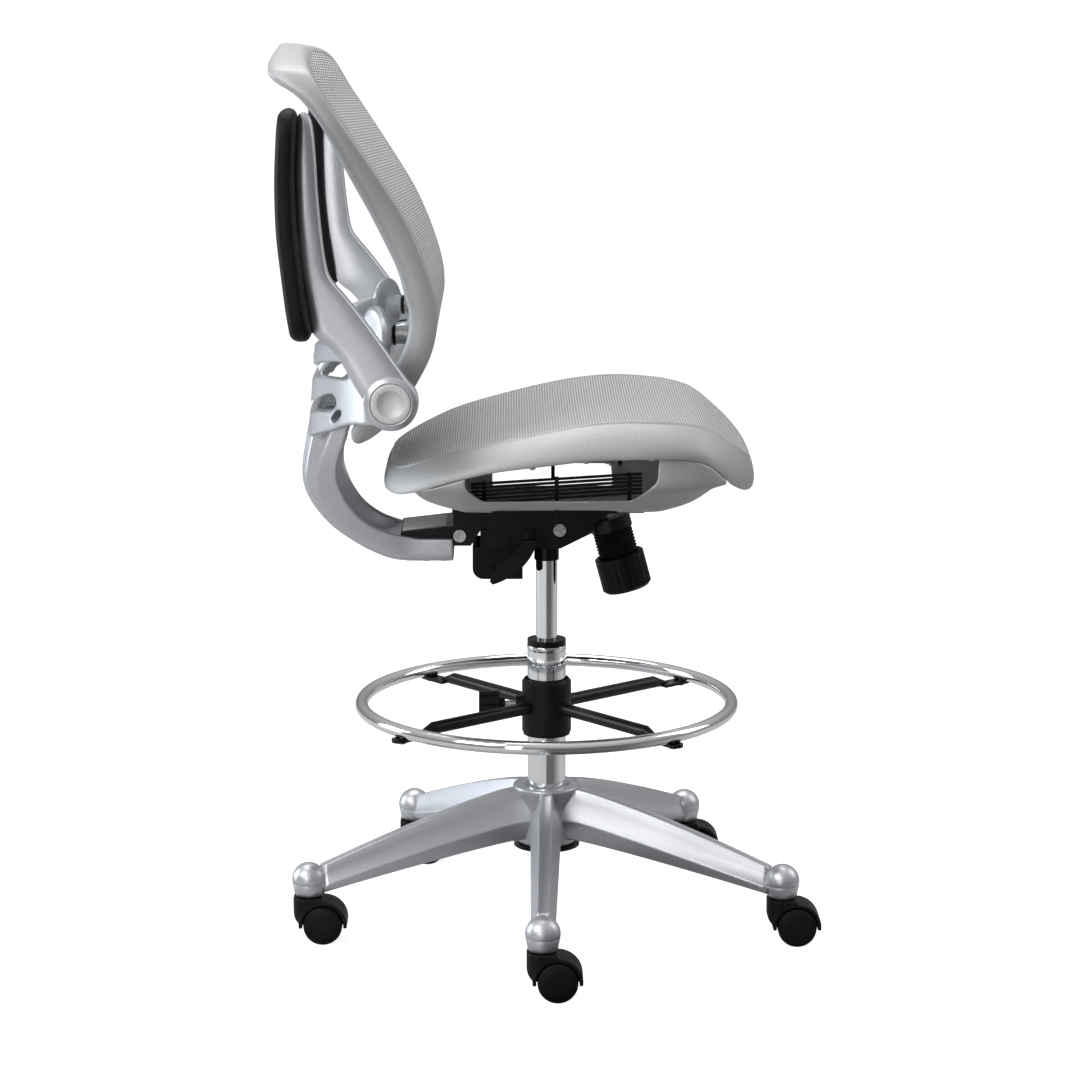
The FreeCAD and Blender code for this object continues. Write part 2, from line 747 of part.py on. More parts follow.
def tension_point(along):
    """A point on the tension knob's axis, measured downwards from the housing's ear."""
    return tension_top + tension_dir * along


def hinge_pin(x, z):
    """A riveted pin through both cheeks of the seat plate."""
    head_y = cheek_outer_y + seat_gap
    bar = rod(hinge_pin_r, V(x, -head_y - 1, z), V(x, head_y + 1, z))
    for side in (-1, 1):
        bar = bar.fuse(rod(hinge_head_r, V(x, side * head_y, z), V(x, side * (head_y + hinge_head_h), z)))
    return bar


def seat_plate():
    """The folded steel plate under the seat, with a cheek down each side."""
    plate = block(plate_rear_x, plate_front_x, -plate_half_width, plate_half_width,
                  plate_bottom_z, plate_top_z)
    low = recline_z - cheek_lobe + 1
    lobe = cheek_lobe
    waist_z = tilt_z + 2
    cheek = side_polygon([(plate_rear_x + 1, plate_bottom_z), (plate_rear_x + 1, low),
                          (recline_x + lobe, low), (recline_x + lobe * 2, waist_z),
                          (tilt_x - lobe * 3, waist_z),
                          (tilt_x - lobe, waist_z - lobe), (tilt_x + lobe, waist_z - lobe),
                          (tilt_x + cheek_front * 0.5, waist_z), (tilt_x + cheek_front, plate_bottom_z)],
                         cheek_inner_y, cheek_outer_y)
    solid = joined(plate, cheek, mirrored(cheek))
    for x, z in ((tilt_x, tilt_z), (recline_x, recline_z)):
        solid = solid.cut(rod(pin_bore, V(x, -plate_half_width, z), V(x, plate_half_width, z)))
    return solid


def mechanism_housing():
    half = housing_half_width
    body = side_polygon([(housing_rear_x, housing_bottom_z), (tilt_x + 1, housing_bottom_z),
                         (housing_front_x - 3, housing_belly_z - 5), (housing_front_x, housing_belly_z),
                         (housing_front_x, housing_front_top_z), (tilt_x - 6, housing_front_top_z),
                         (housing_rear_x, housing_rear_top_z)], -half, half)
    inner = half - housing_wall
    rear_pocket = block(housing_rear_x + housing_wall, tilt_x - housing_bridge_rear, -inner, inner,
                        housing_bottom_z + housing_floor_t, tall)
    front_pocket = block(tilt_x + housing_bridge_front, housing_front_x - housing_wall, -inner, inner,
                         housing_belly_z + 3, tall)
    body = body.cut(rear_pocket).cut(front_pocket)
    collar = rod(collar_r, V(0, 0, collar_bottom_z), V(0, 0, housing_bottom_z))
    socket = rod(socket_r, V(0, 0, housing_bottom_z), V(0, 0, cylinder_top_z))
    ear = rod(tension_ear_r, tension_point(-tension_ear_t), tension_point(0))
    arm = block(housing_front_x - housing_wall * 2, tension_x - 6, -ear_arm_half, ear_arm_half, *ear_arm_z)
    body = body.fuse([collar, socket, ear, arm])
    body = body.cut(rod(cylinder_r + fit, origin, V(0, 0, tall)))
    body = body.cut(rod(tension_bolt_r + fit, tension_point(-tall), tension_point(1)))
    body = body.cut(front_pocket)
    body = body.cut(rod(pin_bore, V(tilt_x, -half - 1, tilt_z), V(tilt_x, half + 1, tilt_z)))
    return body.cut(rod(lever_r + fit, V(lever_x, -half - 1, lever_z), V(lever_x, half + 1, lever_z)))


def lock_box():
    box = block(lock_rear_x, lock_front_x, -lock_half_width, lock_half_width, lock_bottom_z, housing_bottom_z)
    corner = [e for e in box.Edges if abs(e.CenterOfMass.x - lock_rear_x) < 0.01
              and abs(e.CenterOfMass.z - lock_bottom_z) < 0.01]
    box = box.makeFillet(lock_corner_r, corner)
    boss = rod(lock_boss_r, V(lock_boss_x, -lock_half_width - lock_boss_h, lock_boss_z),
               V(lock_boss_x, -lock_half_width, lock_boss_z))
    wall = lock_wall
    hollow = block(lock_rear_x + wall, lock_front_x - wall, -lock_half_width + wall, lock_half_width - wall,
                   lock_bottom_z + wall, tall)
    return box.fuse(boss).cut(hollow)


def lever_rod():
    """The lever's cross rod with the finger that presses the gas cylinder's release pin."""
    bar = rod(lever_r, V(lever_x, lever_outer_y, lever_z), V(lever_x, lever_inner_y, lever_z))
    finger = side_polygon([(lever_x - lever_r, lever_z), (lever_x + lever_r, lever_z),
                           (lever_x + lever_r, finger_bottom_z), (finger_tip_x, finger_bottom_z),
                           (finger_tip_x, finger_bottom_z + finger_t),
                           (lever_x - lever_r, finger_bottom_z + finger_t)], finger_low_y, finger_high_y)
    return joined(bar, finger)


def tilt_lock_bar():
    """The flat bar that the lever carries in and out to lock the tilt."""
    bar = block(bar_rear_x, lever_x, bar_low_y, bar_low_y + bar_t,
                lever_z - bar_half_height + 1, lever_z + bar_half_height)
    ring = rod(lever_r + bar_eye_wall, V(lever_x, bar_low_y, lever_z), V(lever_x, bar_low_y + bar_t, lever_z))
    hole = rod(lever_r + fit, V(lever_x, bar_low_y - 1, lever_z), V(lever_x, bar_low_y + bar_t + 1, lever_z))
    return bar.fuse(ring).cut(hole)


def lever_paddle():
    """The flat leaf at the end of the lever, pointing down and back."""
    reach, drop, root = paddle_reach, paddle_drop, paddle_root
    tip, heel = (lever_x - reach, lever_z - drop), (lever_x - reach - paddle_tip, lever_z - drop + paddle_tip)
    low_root, high_root = (lever_x + root, lever_z + root * 0.8), (lever_x - root / 2, lever_z + root * 0.9)
    shape = side_slab([[low_root, (lever_x + root * 0.4, lever_z - root * 0.8),
                        (lever_x - reach * 0.27, lever_z - drop * 0.62), tip],
                       [tip, heel],
                       [heel, (lever_x - reach * 0.7, lever_z - drop * 0.43),
                        (lever_x - reach * 0.3, lever_z - drop * 0.06), high_root],
                       [high_root, low_root]],
                      paddle_inner_y - paddle_t, paddle_inner_y)
    bore_end = paddle_inner_y - paddle_bore_depth - 2
    return shape.cut(rod(lever_r + fit, V(lever_x, bore_end, lever_z), V(lever_x, 0, lever_z)))


def tension_sleeve():
    """A ribbed rubber bellows between the housing's ear and the knob."""
    pitch = sleeve_len / sleeve_ridges
    outer = [(sleeve_r - sleeve_ridge_depth, 0.0)]
    for k in range(sleeve_ridges):
        outer.append((sleeve_r, (k + 0.5) * pitch))
        outer.append((sleeve_r - sleeve_ridge_depth, (k + 1) * pitch))
    inner_r = sleeve_r - sleeve_ridge_depth - sleeve_wall
    return revolved([(inner_r, 0.0)] + outer + [(inner_r, sleeve_len)], tension_point(0), tension_dir)


def tension_knob():
    start = sleeve_len + seat_gap
    r, length, wall = tension_knob_r, tension_knob_len, tension_knob_wall
    bore, depth, edge, foot = tension_bolt_r + fit, tension_knob_depth, 1.5, 4.0
    profile = [(bore, depth), (r - wall, depth), (r - wall, 0), (r - edge, 0),
               (r, edge), (r, length - foot), (r - foot, length), (bore, length)]
    knob = revolved(profile, tension_point(start), tension_dir)
    side = V(0, 1, 0)
    groove_start = tension_point(start + 5)
    for k in range(tension_flutes):
        turn = FreeCAD.Rotation(tension_dir, 360.0 / tension_flutes * k)
        offset = turn.multVec(side) * (r + tension_flute_r * 0.4)
        knob = knob.cut(Part.makeCylinder(tension_flute_r, length, groove_start + offset, tension_dir))
    return knob


def tension_spring():
    """The coil spring round the bolt, between the ear and the knob's floor."""
    length = sleeve_len + seat_gap + tension_knob_depth - 2 * spring_wire_r - 1
    helix = Part.makeHelix(length / spring_turns, length, spring_r)
    start = V(spring_r, 0, 0)
    wire = Part.Wire([Part.Circle(start, V(0, 1, 0), spring_wire_r).toShape()])
    coil = Part.Wire(helix).makePipeShell([wire], True, True)
    coil.Placement = FreeCAD.Placement(tension_point(spring_wire_r + 0.3),
                                       FreeCAD.Rotation(V(0, 0, 1), tension_dir))
    return coil


def back_bracket():
    """The steel tongue from the rear hinge pin to the top of the yoke's foot."""
    half = bracket_half_width
    low_z = recline_z - bracket_eye_r
    tongue = side_polygon([(recline_x, recline_z + bracket_eye_r), (strip_front_x, strip_front_z),
                           (bracket_rear_x, strip_rear_z), (bracket_rear_x, foot_top_z + 2),
                           (foot_front_x - 3, foot_top_z), (foot_front_x + 1, low_z + 3),
                           (recline_x, low_z)], -half, half)
    eye = rod(bracket_eye_r, V(recline_x, -half, recline_z), V(recline_x, half, recline_z))
    solid = tongue.fuse(eye)
    return solid.cut(rod(pin_bore, V(recline_x, -half - 1, recline_z), V(recline_x, half + 1, recline_z)))


def bracket_strip():
    """The light grey strip that lies on the tongue."""
    rear = bracket_rear_x
    return side_polygon([(rear, strip_rear_z), (strip_front_x, strip_front_z),
                         (strip_front_x, strip_front_z + strip_t * 1.6),
                         (rear + 1, strip_rear_z + strip_t * 2.1)],
                        -strip_half_width, strip_half_width)


save("seat_plate", seat_plate())
save("tilt_pin", hinge_pin(tilt_x, tilt_z))
save("recline_pin", hinge_pin(recline_x, recline_z))
save("mechanism_housing", mechanism_housing())
save("lock_box", lock_box())
save("lever_rod", lever_rod())
save("tilt_lock_bar", tilt_lock_bar())
save("lever_paddle", lever_paddle())
tension_bolt_end = tension_point(sleeve_len + tension_knob_len - 4)
save("tension_bolt", rod(tension_bolt_r, tension_point(-tension_ear_t), tension_bolt_end))
save("tension_spring", tension_spring())
save("tension_sleeve", tension_sleeve())
save("tension_knob", tension_knob())
save("bracket_strip", bracket_strip())


# ---- seat -------------------------------------------------------------------------------
def lowered(line, drop):
    return [(x, z - drop) for x, z in line]


def line_height(line, x):
    """The height of a smooth side line at one x."""
    curve = Part.BSplineCurve()
    curve.interpolate(side_points(line))
    ray = Part.LineSegment(V(x, 0, 0), V(x, 0, tall)).toShape()
    return curve.toShape().distToShape(ray)[1][0][0].z


high_z = 800.0           # above the seat, for cutting tools
cradle_half_width = seat_half_width - cradle_side_in


def seat_core(side, rear, front):
    """An upright core inside the seat rim, inset by its own width at the sides, rear and front."""
    return rounded_plan(seat_rear_x + rear, seat_front_x - front, seat_half_width - side,
                        seat_rear_corner_r - side, seat_front_corner_r - side, plate_top_z, high_z)


def seat_recess(gap):
    """The core that holds the mesh, smaller by a gap all round."""
    return seat_core(seat_ledge_side + gap, seat_ledge_rear + gap, seat_ledge_front + gap)


def rim_slope(side):
    """The wedge above the sloping top of one side rim."""
    near = side * (seat_half_width - seat_ledge_side)
    far = side * (seat_half_width + 1)
    sections = []
    for x, z in seat_top_line:
        corners = [V(x, near, z), V(x, far, z - seat_rim_drop), V(x, far, high_z), V(x, near, high_z)]
        sections.append(Part.makePolygon(corners + corners[:1]))
    return Part.makeLoft(sections, True, False)


def seat_frame():
    slab = band(seat_top_line, seat_bottom_line, -seat_half_width, seat_half_width)
    plan = rounded_plan(seat_rear_x, seat_front_x, seat_half_width, seat_rear_corner_r,
                        seat_front_corner_r, plate_top_z, high_z)
    frame = slab.common(plan).cut(seat_core(seat_rim_width, seat_rim_width, seat_rim_width))
    above_ledge = band(lowered(seat_top_line, -seat_rim_drop), lowered(seat_top_line, seat_rebate_depth),
                       -seat_half_width, seat_half_width)
    frame = frame.cut(above_ledge.common(seat_recess(0.0)))
    for side in (-1, 1):
        frame = frame.cut(rim_slope(side))
    for x, y in seat_screw_points:
        z = line_height(seat_bottom_line, x)
        frame = frame.cut(rod(screw_r + fit, V(x, y, z - 10), V(x, y, z + screw_len + fit)))
        frame = frame.cut(rod(screw_head_r + seat_gap, V(x, y, z - 10), V(x, y, z - screw_spot)))
    return frame


def seat_mesh():
    slab = band(seat_top_line, lowered(seat_top_line, seat_mesh_t), -seat_half_width, seat_half_width)
    return slab.common(seat_recess(seat_mesh_gap))


def rim_screw(x, y):
    z = line_height(seat_bottom_line, x)
    under = z - screw_spot
    shank = rod(screw_r, V(x, y, under - screw_head_h), V(x, y, z + screw_len))
    head = rod(screw_head_r, V(x, y, under - screw_head_h), V(x, y, under))
    return shank.fuse(head)


def hull(inset):
    """The boat-shaped outside of the cradle, or its inside when inset by the wall."""
    first, last = cradle_stations[0][0], cradle_stations[-1][0]
    middle = (first + last) / 2
    stretch = (last - first - 2 * inset) / (last - first)
    sections = []
    for x, floor_rise, bilge_rise, narrower in cradle_stations:
        half = cradle_half_width - narrower - inset
        side = [(half, high_z), (half, cradle_side_z + inset),
                (half - cradle_bilge_in, cradle_bilge_z + bilge_rise + inset),
                (half - cradle_floor_in + inset, plate_top_z + floor_rise + inset)]
        across = side + [(-y, z) for y, z in side[::-1]]
        points = [V(middle + (x - middle) * stretch, y, z) for y, z in across]
        sections.append(Part.makePolygon(points + points[:1]))
    return Part.makeLoft(sections, True, True)


def seat_cradle():
    shell = hull(0.0).cut(hull(cradle_wall))
    above = side_slab([seat_bottom_line, [seat_bottom_line[-1], (seat_front_x, high_z + 1)],
                       [(seat_front_x, high_z + 1), (seat_rear_x, high_z + 1)],
                       [(seat_rear_x, high_z + 1), seat_bottom_line[0]]], -seat_half_width, seat_half_width)
    shell = shell.cut(above)
    wide = seat_half_width
    slant = window_slant
    window = side_polygon([(window_rear_x, tall), (window_rear_x, window_bottom_z + slant * 0.8),
                           (window_rear_x + slant * 1.2, window_bottom_z),
                           (window_front_x - slant, window_bottom_z),
                           (window_front_x, window_bottom_z + slant), (window_front_x, tall)], -wide, wide)
    hole = block(floor_hole_rear_x, floor_hole_front_x, floor_hole_y, cradle_half_width - cradle_bilge_in,
                 plate_top_z - cradle_wall, cradle_bilge_z + cradle_wall * 3)
    hole = hole.makeFillet(floor_hole_r, upright_edges(hole))
    return shell.cut(window).cut(hole).cut(mirrored(hole))


def louvre():
    """One louvred screen inside a side window: slats between posts."""
    low = plate_top_z
    high = louvre_first_z + louvre_slats * louvre_pitch
    y0 = louvre_y - louvre_slat_depth / 2
    y1 = louvre_y + louvre_slat_depth / 2
    first = louvre_rear_x + louvre_post_in
    step = (louvre_front_x - louvre_post_in - first) / (louvre_posts - 1)
    half = louvre_post_w / 2
    screen = None
    for k in range(louvre_posts):
        x = first + k * step
        rise = (x - louvre_rear_x) * math.tan(math.radians(louvre_lift))
        post = block(x - half, x + half, y0, y1, low, high + rise)
        screen = screen.fuse(post) if screen else post
    for k in range(louvre_slats):
        z = louvre_first_z + (k + 0.5) * louvre_pitch
        slat = block(louvre_rear_x, louvre_front_x, y0, y1, z - louvre_slat_t / 2, z + louvre_slat_t / 2)
        slat.rotate(V(louvre_rear_x, 0, z), V(0, 1, 0), -louvre_lift)
        screen = screen.fuse(slat)
    return screen


cradle = seat_cradle()
seat_screw_y = cradle_half_width + seat_screw_gap + screw_head_r
seat_screw_points = [(x, side * seat_screw_y) for x in seat_screw_xs for side in (-1, 1)]
save("seat_frame", seat_frame())
save("seat_mesh", seat_mesh())
save("seat_screws", *[rim_screw(x, y) for x, y in seat_screw_points])
save("seat_cradle", cradle)
screen = louvre().cut(cradle)
screens = [max(piece.Solids, key=lambda s: s.Volume) for piece in (screen, mirrored(screen))]
save("seat_louvres", *screens)


# ---- back support -----------------------------------------------------------------------
pad_rear_x = prong_face_x - prong_pad_t
pin_start = wing_inner_y + pin_wall
boss_outer_y = wing_inner_y + wing_t


foot_screw_top_z = foot_top_z + 3


def spine():
    """The J-shaped channel from the foot under the seat up to the tower."""
    foot_top, foot_low = (foot_front_x, foot_top_z), (foot_front_x, foot_bottom_z)
    outer = [[foot_top, foot_low], [foot_low, spine_outer[0]], spine_outer,
             [spine_outer[-1], spine_inner[-1]], spine_inner[::-1], [spine_inner[0], foot_top]]
    solid = side_slab(outer, -spine_half_width, spine_half_width)
    knee_x = spine_outer[2][0]
    knee_z = spine_outer[4][1]
    front = foot_front_x + 1
    rear = tower_rear_x - 40
    half = foot_half_width
    top = spine_half_width
    flare = spine_flare
    plan = [V(front, half, 0), V(spine_outer[0][0], half, 0), V(knee_x, half + flare, 0),
            V(rear, half + flare, 0)]
    corners = plan + [V(p.x, -p.y, 0) for p in plan[::-1]]
    foot_plan = Part.Face(Part.makePolygon(corners + corners[:1])).extrude(V(0, 0, tall))
    height = [V(rear, half + flare, 0), V(rear, half + flare, spine_outer[3][1] - 10),
              V(rear, top, knee_z + 40), V(rear, top, tall)]
    around = height + [V(p.x, -p.y, p.z) for p in height[::-1]]
    elevation = Part.Face(Part.makePolygon(around + around[:1])).extrude(V(tall, 0, 0))
    low = solid.common(foot_plan.common(block(rear, 0, -top, top, 0, knee_z - 40)))
    high = solid.common(elevation).common(block(rear, 0, -top, top, knee_z - 40, tall))
    return low.fuse(high)


def spine_hollow():
    """The hollow that opens the channel towards the front."""
    wall = spine_wall
    outer = [(x + wall * 0.8, z + wall) for x, z in spine_outer[2:]]
    inner = [(x + 30, z) for x, z in spine_inner[1:]]
    slab = side_slab([outer, [outer[-1], inner[-1]], inner[::-1], [inner[0], outer[0]]],
                     -foot_half_width + wall, foot_half_width - wall)
    return slab


def tower():
    """The box above the channel, with two openings across its back."""
    rear, front, lean_x = tower_rear_x, tower_front_x, tower_lean
    low, high = tower_bottom_z, tower_top_z
    half = spine_half_width
    rear_top, front_top = (rear + lean_x * 2, high), (front - tower_top_in, high)
    front_low = (spine_inner[-1][0] - 4, low)
    outside = side_polygon([(rear, low), rear_top, front_top, (front, wing_top_z), (front, wing_bottom_z),
                            front_low], -half, half)
    upright = [e for e in outside.Edges if e.Length > high - low - 2 and e.CenterOfMass.x < rear + lean_x * 2]
    outside = outside.makeFillet(tower_corner_r, upright)
    wall = tower_wall
    room = block(rear + wall + lean_x, 0, -half + wall, half - wall, low + wall, tall)
    outside = outside.cut(room)
    for (z0, z1), x1 in zip(slot_heights, slot_fronts):
        opening = block(rear - 1, x1, -half - 1, half + 1, z0, z1)
        edges = [e for e in opening.Edges if abs(e.CenterOfMass.x - x1) < 0.1 and e.Length > half]
        opening = opening.makeFillet((z1 - z0) * 0.45, edges)
        keep = block(front - 1, 0, -half, half, z0, z1)
        outside = outside.cut(opening.cut(keep))
    return outside


def wing():
    """The arm of the yoke that reaches out to the pivot of the left armrest."""
    root_y = spine_half_width - tower_wall
    turn = wing_turn
    plan = [(wing_rear_x, root_y), (wing_front_x - turn * 0.4, root_y),
            (wing_front_x - turn * 0.25, wing_inner_y - turn), (wing_front_x + turn / 3, wing_inner_y),
            (arm_pivot_x, wing_inner_y), (arm_pivot_x, boss_outer_y), (wing_front_x, boss_outer_y),
            (wing_rear_x, wing_inner_y - turn / 2)]
    points = [V(x, y, wing_bottom_z) for x, y in plan]
    bar = Part.Face(Part.makePolygon(points + points[:1])).extrude(V(0, 0, wing_top_z - wing_bottom_z))
    lower = arm_pivot_z - wing_eye_r
    slope = side_polygon([(wing_rear_x - 1, wing_bottom_z), (wing_front_x, wing_bottom_z),
                          (arm_pivot_x + 1, lower), (arm_pivot_x + 1, wing_top_z + 10),
                          (wing_rear_x - 1, wing_top_z)], 0, tall)
    bar = bar.common(slope)
    eye = rod(wing_eye_r, V(arm_pivot_x, wing_inner_y, arm_pivot_z),
              V(arm_pivot_x, boss_outer_y, arm_pivot_z))
    return bar.fuse(eye)


def prong():
    """The strut from the tower's top to the round pad behind the left side of the backrest."""
    root_y = spine_half_width - tower_wall
    high = tower_top_z
    front = tower_front_x - tower_top_in
    rear = tower_rear_x + prong_root_in
    low = high - prong_root_h
    root = [V(front, root_y, low), V(rear, root_y, low), V(rear, root_y, high), V(front, root_y, high)]
    root = Part.makePolygon(root + root[:1])
    reach_y = prong_y + prong_pad_r * 0.3
    x0, x1 = pad_rear_x - prong_tip_half * 0.5, pad_rear_x + prong_tip_half * 0.35
    z0, z1 = prong_z - prong_tip_half, prong_z + prong_tip_half
    end = [V(x1, reach_y, z0), V(x0, reach_y, z0), V(x0, reach_y, z1), V(x1, reach_y, z1)]
    end = Part.makePolygon(end + end[:1])
    strut = Part.makeLoft([root, end], True, True)
    pad = rod(prong_pad_r, V(pad_rear_x, prong_y, prong_z), V(prong_face_x, prong_y, prong_z))
    return strut.fuse(pad)


def yoke():
    body = spine().fuse(tower())
    for piece in (wing(), prong()):
        body = body.fuse(piece).fuse(mirrored(piece))
    body = body.cut(spine_hollow())
    clear = side_polygon([(bracket_rear_x - 1, foot_top_z + 1), (bracket_rear_x - 1, plate_top_z),
                          (0, plate_top_z), (0, foot_top_z)], -tall, tall)
    body = body.cut(clear).cut(bracket)
    for side in (-1, 1):
        eye = rod(pin_r + fit, V(arm_pivot_x, side * pin_start, arm_pivot_z),
                  V(arm_pivot_x, side * tall, arm_pivot_z))
        bolt = rod(screw_r + fit, V(tower_rear_x, side * prong_y, prong_z),
                   V(0, side * prong_y, prong_z))
        body = body.cut(eye).cut(bolt)
    for x, y in foot_screw_points:
        body = body.cut(rod(screw_r + fit, V(x, y, 0), V(x, y, tall)))
    return max(body.Solids, key=lambda s: s.Volume)


def foot_screw(x, y):
    z = foot_bottom_z
    head = rod(foot_screw_head_r, V(x, y, z - foot_screw_head_h), V(x, y, z - 0.3))
    return head.fuse(rod(screw_r, V(x, y, z - foot_screw_head_h), V(x, y, foot_screw_top_z)))


bracket = back_bracket()
foot_screw_points = [(x, side * foot_screw_y) for x in foot_screw_xs for side in (-1, 1)]
for x, y in foot_screw_points:
    bracket = bracket.cut(rod(screw_r + fit, V(x, y, 0), V(x, y, foot_screw_top_z + fit)))
save("back_bracket", bracket)
save("yoke", yoke())
save("yoke_screws", *[foot_screw(x, y) for x, y in foot_screw_points])


# ---- backrest ---------------------------------------------------------------------------
def back_outline(inset, top_inset):
    """Half the backrest's front view as points from the bottom middle to the top middle."""
    low_z = back_bottom_z + inset
    high_z_side = back_top_z - back_top_crown - top_inset
    low = back_low_half - inset
    top = back_top_half - inset
    low_r = back_low_corner_r - inset
    top_r = back_top_corner_r - inset
    side = [V(0, low - low_r * 0.29, low_z + low_r * 0.29), V(0, low, low_z + low_r),
            V(0, back_mid_half - inset, back_mid_z), V(0, top, high_z_side - top_r),
            V(0, top - top_r * 0.25, high_z_side - top_r * 0.22)]
    return [V(0, low - low_r, low_z)] + side + [V(0, top - top_r, high_z_side)]


def back_window(inset, top_inset):
    """A core along X with the backrest's front view, inset all round and by its own amount at the top."""
    side = back_outline(inset, top_inset)
    top_middle = V(0, 0, back_top_z - top_inset)
    left = Part.BSplineCurve()
    left.interpolate(side)
    other = [V(0, -p.y, p.z) for p in side]
    right = Part.BSplineCurve()
    right.interpolate(other[::-1])
    arch = Part.Arc(side[-1], top_middle, other[-1]).toShape()
    bottom = Part.LineSegment(other[0], side[0]).toShape()
    face = Part.Face(Part.Wire([left.toShape(), arch, right.toShape(), bottom]))
    face.translate(V(-tall / 2, 0, 0))
    return face.extrude(V(tall, 0, 0))


def behind_front(depth):
    """The backrest's front line, moved back and a little down."""
    return [(x - depth, z - depth * 0.4) for x, z in back_front_line]


def lug():
    """The lug inside the left rim that the spacer's bolt holds."""
    x0 = lug_face_x
    low_y = prong_y - lug_inner_reach
    return block(x0, x0 + lug_t, low_y, back_low_half - back_rim_width / 2,
                 prong_z - lug_half_height, prong_z + lug_half_height)


def back_frame():
    wide = back_top_half + 20
    slab = band(back_front_line, back_rear_line, -wide, wide)
    rim = back_rim_width
    frame = slab.common(back_window(0.0, 0.0)).cut(back_window(rim, rim))
    before_ledge = band(behind_front(-back_rebate_depth), behind_front(back_rebate_depth), -wide, wide)
    frame = frame.cut(before_ledge.common(back_window(back_ledge, back_top_ledge)))
    tongue = lug()
    frame = frame.fuse(tongue).fuse(mirrored(tongue))
    for side in (-1, 1):
        frame = frame.cut(rod(screw_r + fit, V(prong_face_x, side * prong_y, prong_z),
                              V(0, side * prong_y, prong_z)))
    return frame


def back_mesh():
    wide = back_top_half + 20
    gap = seat_mesh_gap
    slab = band(back_front_line, behind_front(back_mesh_t), -wide, wide)
    return slab.common(back_window(back_ledge + gap, back_top_ledge + gap))


lug_face_x = prong_face_x + washer_t + spacer_len
save("back_frame", back_frame())
save("back_mesh", back_mesh())
hub_ys = [-prong_y, prong_y]
save("back_washers", *[tube(washer_r, screw_r + fit, V(prong_face_x, y, prong_z),
                            V(prong_face_x + washer_t, y, prong_z)) for y in hub_ys])
save("back_spacers", *[tube(spacer_r, screw_r + fit, V(prong_face_x + washer_t, y, prong_z),
                            V(lug_face_x, y, prong_z)) for y in hub_ys])
save("back_bolts", *[rod(screw_r, V(pad_rear_x + 4, y, prong_z), V(lug_face_x + lug_t - 1, y, prong_z))
                     for y in hub_ys])


# ---- arms -------------------------------------------------------------------------------
def arm_beam():
    y0 = beam_inner_y
    y1 = beam_inner_y + beam_t
    bar = side_slab([pad_face_line, [pad_face_line[-1], beam_rear_line[-1]], beam_rear_line[::-1],
                     [beam_rear_line[0], (arm_pivot_x, arm_pivot_z)],
                     [(arm_pivot_x, arm_pivot_z), beam_front_line[-1]], beam_front_line[::-1],
                     [beam_front_line[0], pad_face_line[0]]], y0, y1)
    eye = rod(beam_eye_r, V(arm_pivot_x, y0, arm_pivot_z), V(arm_pivot_x, y1, arm_pivot_z))
    bar = bar.fuse(eye)
    return bar.cut(rod(pin_r + fit, V(arm_pivot_x, 0, arm_pivot_z),
                       V(arm_pivot_x, y1 - pin_wall, arm_pivot_z)))


def arm_pad():
    y0 = pad_centre_y - pad_width / 2
    y1 = pad_centre_y + pad_width / 2
    face = [(x - pad_gap, z) for x, z in pad_face_line]
    slab = side_slab([face, [face[-1], pad_back_line[0]], pad_back_line, [pad_back_line[-1], face[0]]],
                     y0, y1)
    low = pad_back_line[0][1] - 6
    high = pad_face_line[0][1] + 4
    plan = block(-tall / 2, 0, y0, y1, low, high)
    edges = [e for e in plan.Edges if e.Length > tall / 4]
    return slab.common(plan.makeFillet(pad_corner_r, edges))


def arm_cap():
    start = beam_inner_y + beam_t
    cap = rod(cap_r, V(arm_pivot_x, start, arm_pivot_z), V(arm_pivot_x, start + cap_t, arm_pivot_z))
    return cap.cut(rod(cap_dish_r, V(arm_pivot_x, start + cap_t - cap_dish_depth, arm_pivot_z),
                       V(arm_pivot_x, tall, arm_pivot_z)))


pin_end = beam_inner_y + beam_t - pin_wall - 0.5
pin = rod(pin_r, V(arm_pivot_x, pin_start, arm_pivot_z), V(arm_pivot_x, pin_end, arm_pivot_z))
save("arm_pins", pin, mirrored(pin))
for name, piece in (("beam", arm_beam()), ("pad", arm_pad()), ("cap", arm_cap())):
    save("arm_left_" + name, piece)
    save("arm_right_" + name, mirrored(piece))
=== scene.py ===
import json
import math

import bmesh
import bpy
from mathutils import Matrix, Vector


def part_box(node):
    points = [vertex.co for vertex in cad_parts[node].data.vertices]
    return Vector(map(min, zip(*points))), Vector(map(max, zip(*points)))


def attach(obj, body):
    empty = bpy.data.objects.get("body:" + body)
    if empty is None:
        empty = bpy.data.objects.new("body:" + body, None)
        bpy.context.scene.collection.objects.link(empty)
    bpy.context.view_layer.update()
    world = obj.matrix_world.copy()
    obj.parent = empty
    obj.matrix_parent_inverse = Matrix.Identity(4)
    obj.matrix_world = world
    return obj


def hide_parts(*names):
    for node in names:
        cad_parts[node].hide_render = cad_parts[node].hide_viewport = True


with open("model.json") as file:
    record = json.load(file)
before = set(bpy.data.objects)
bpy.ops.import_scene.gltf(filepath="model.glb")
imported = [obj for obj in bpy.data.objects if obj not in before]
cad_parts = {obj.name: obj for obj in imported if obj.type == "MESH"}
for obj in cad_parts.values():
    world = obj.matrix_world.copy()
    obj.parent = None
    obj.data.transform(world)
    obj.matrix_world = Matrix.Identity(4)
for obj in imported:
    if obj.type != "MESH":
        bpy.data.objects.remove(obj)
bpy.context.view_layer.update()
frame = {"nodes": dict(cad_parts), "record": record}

# A silver drafting chair. Metres; +X is the chair's front, +Y the sitter's left, +Z up.


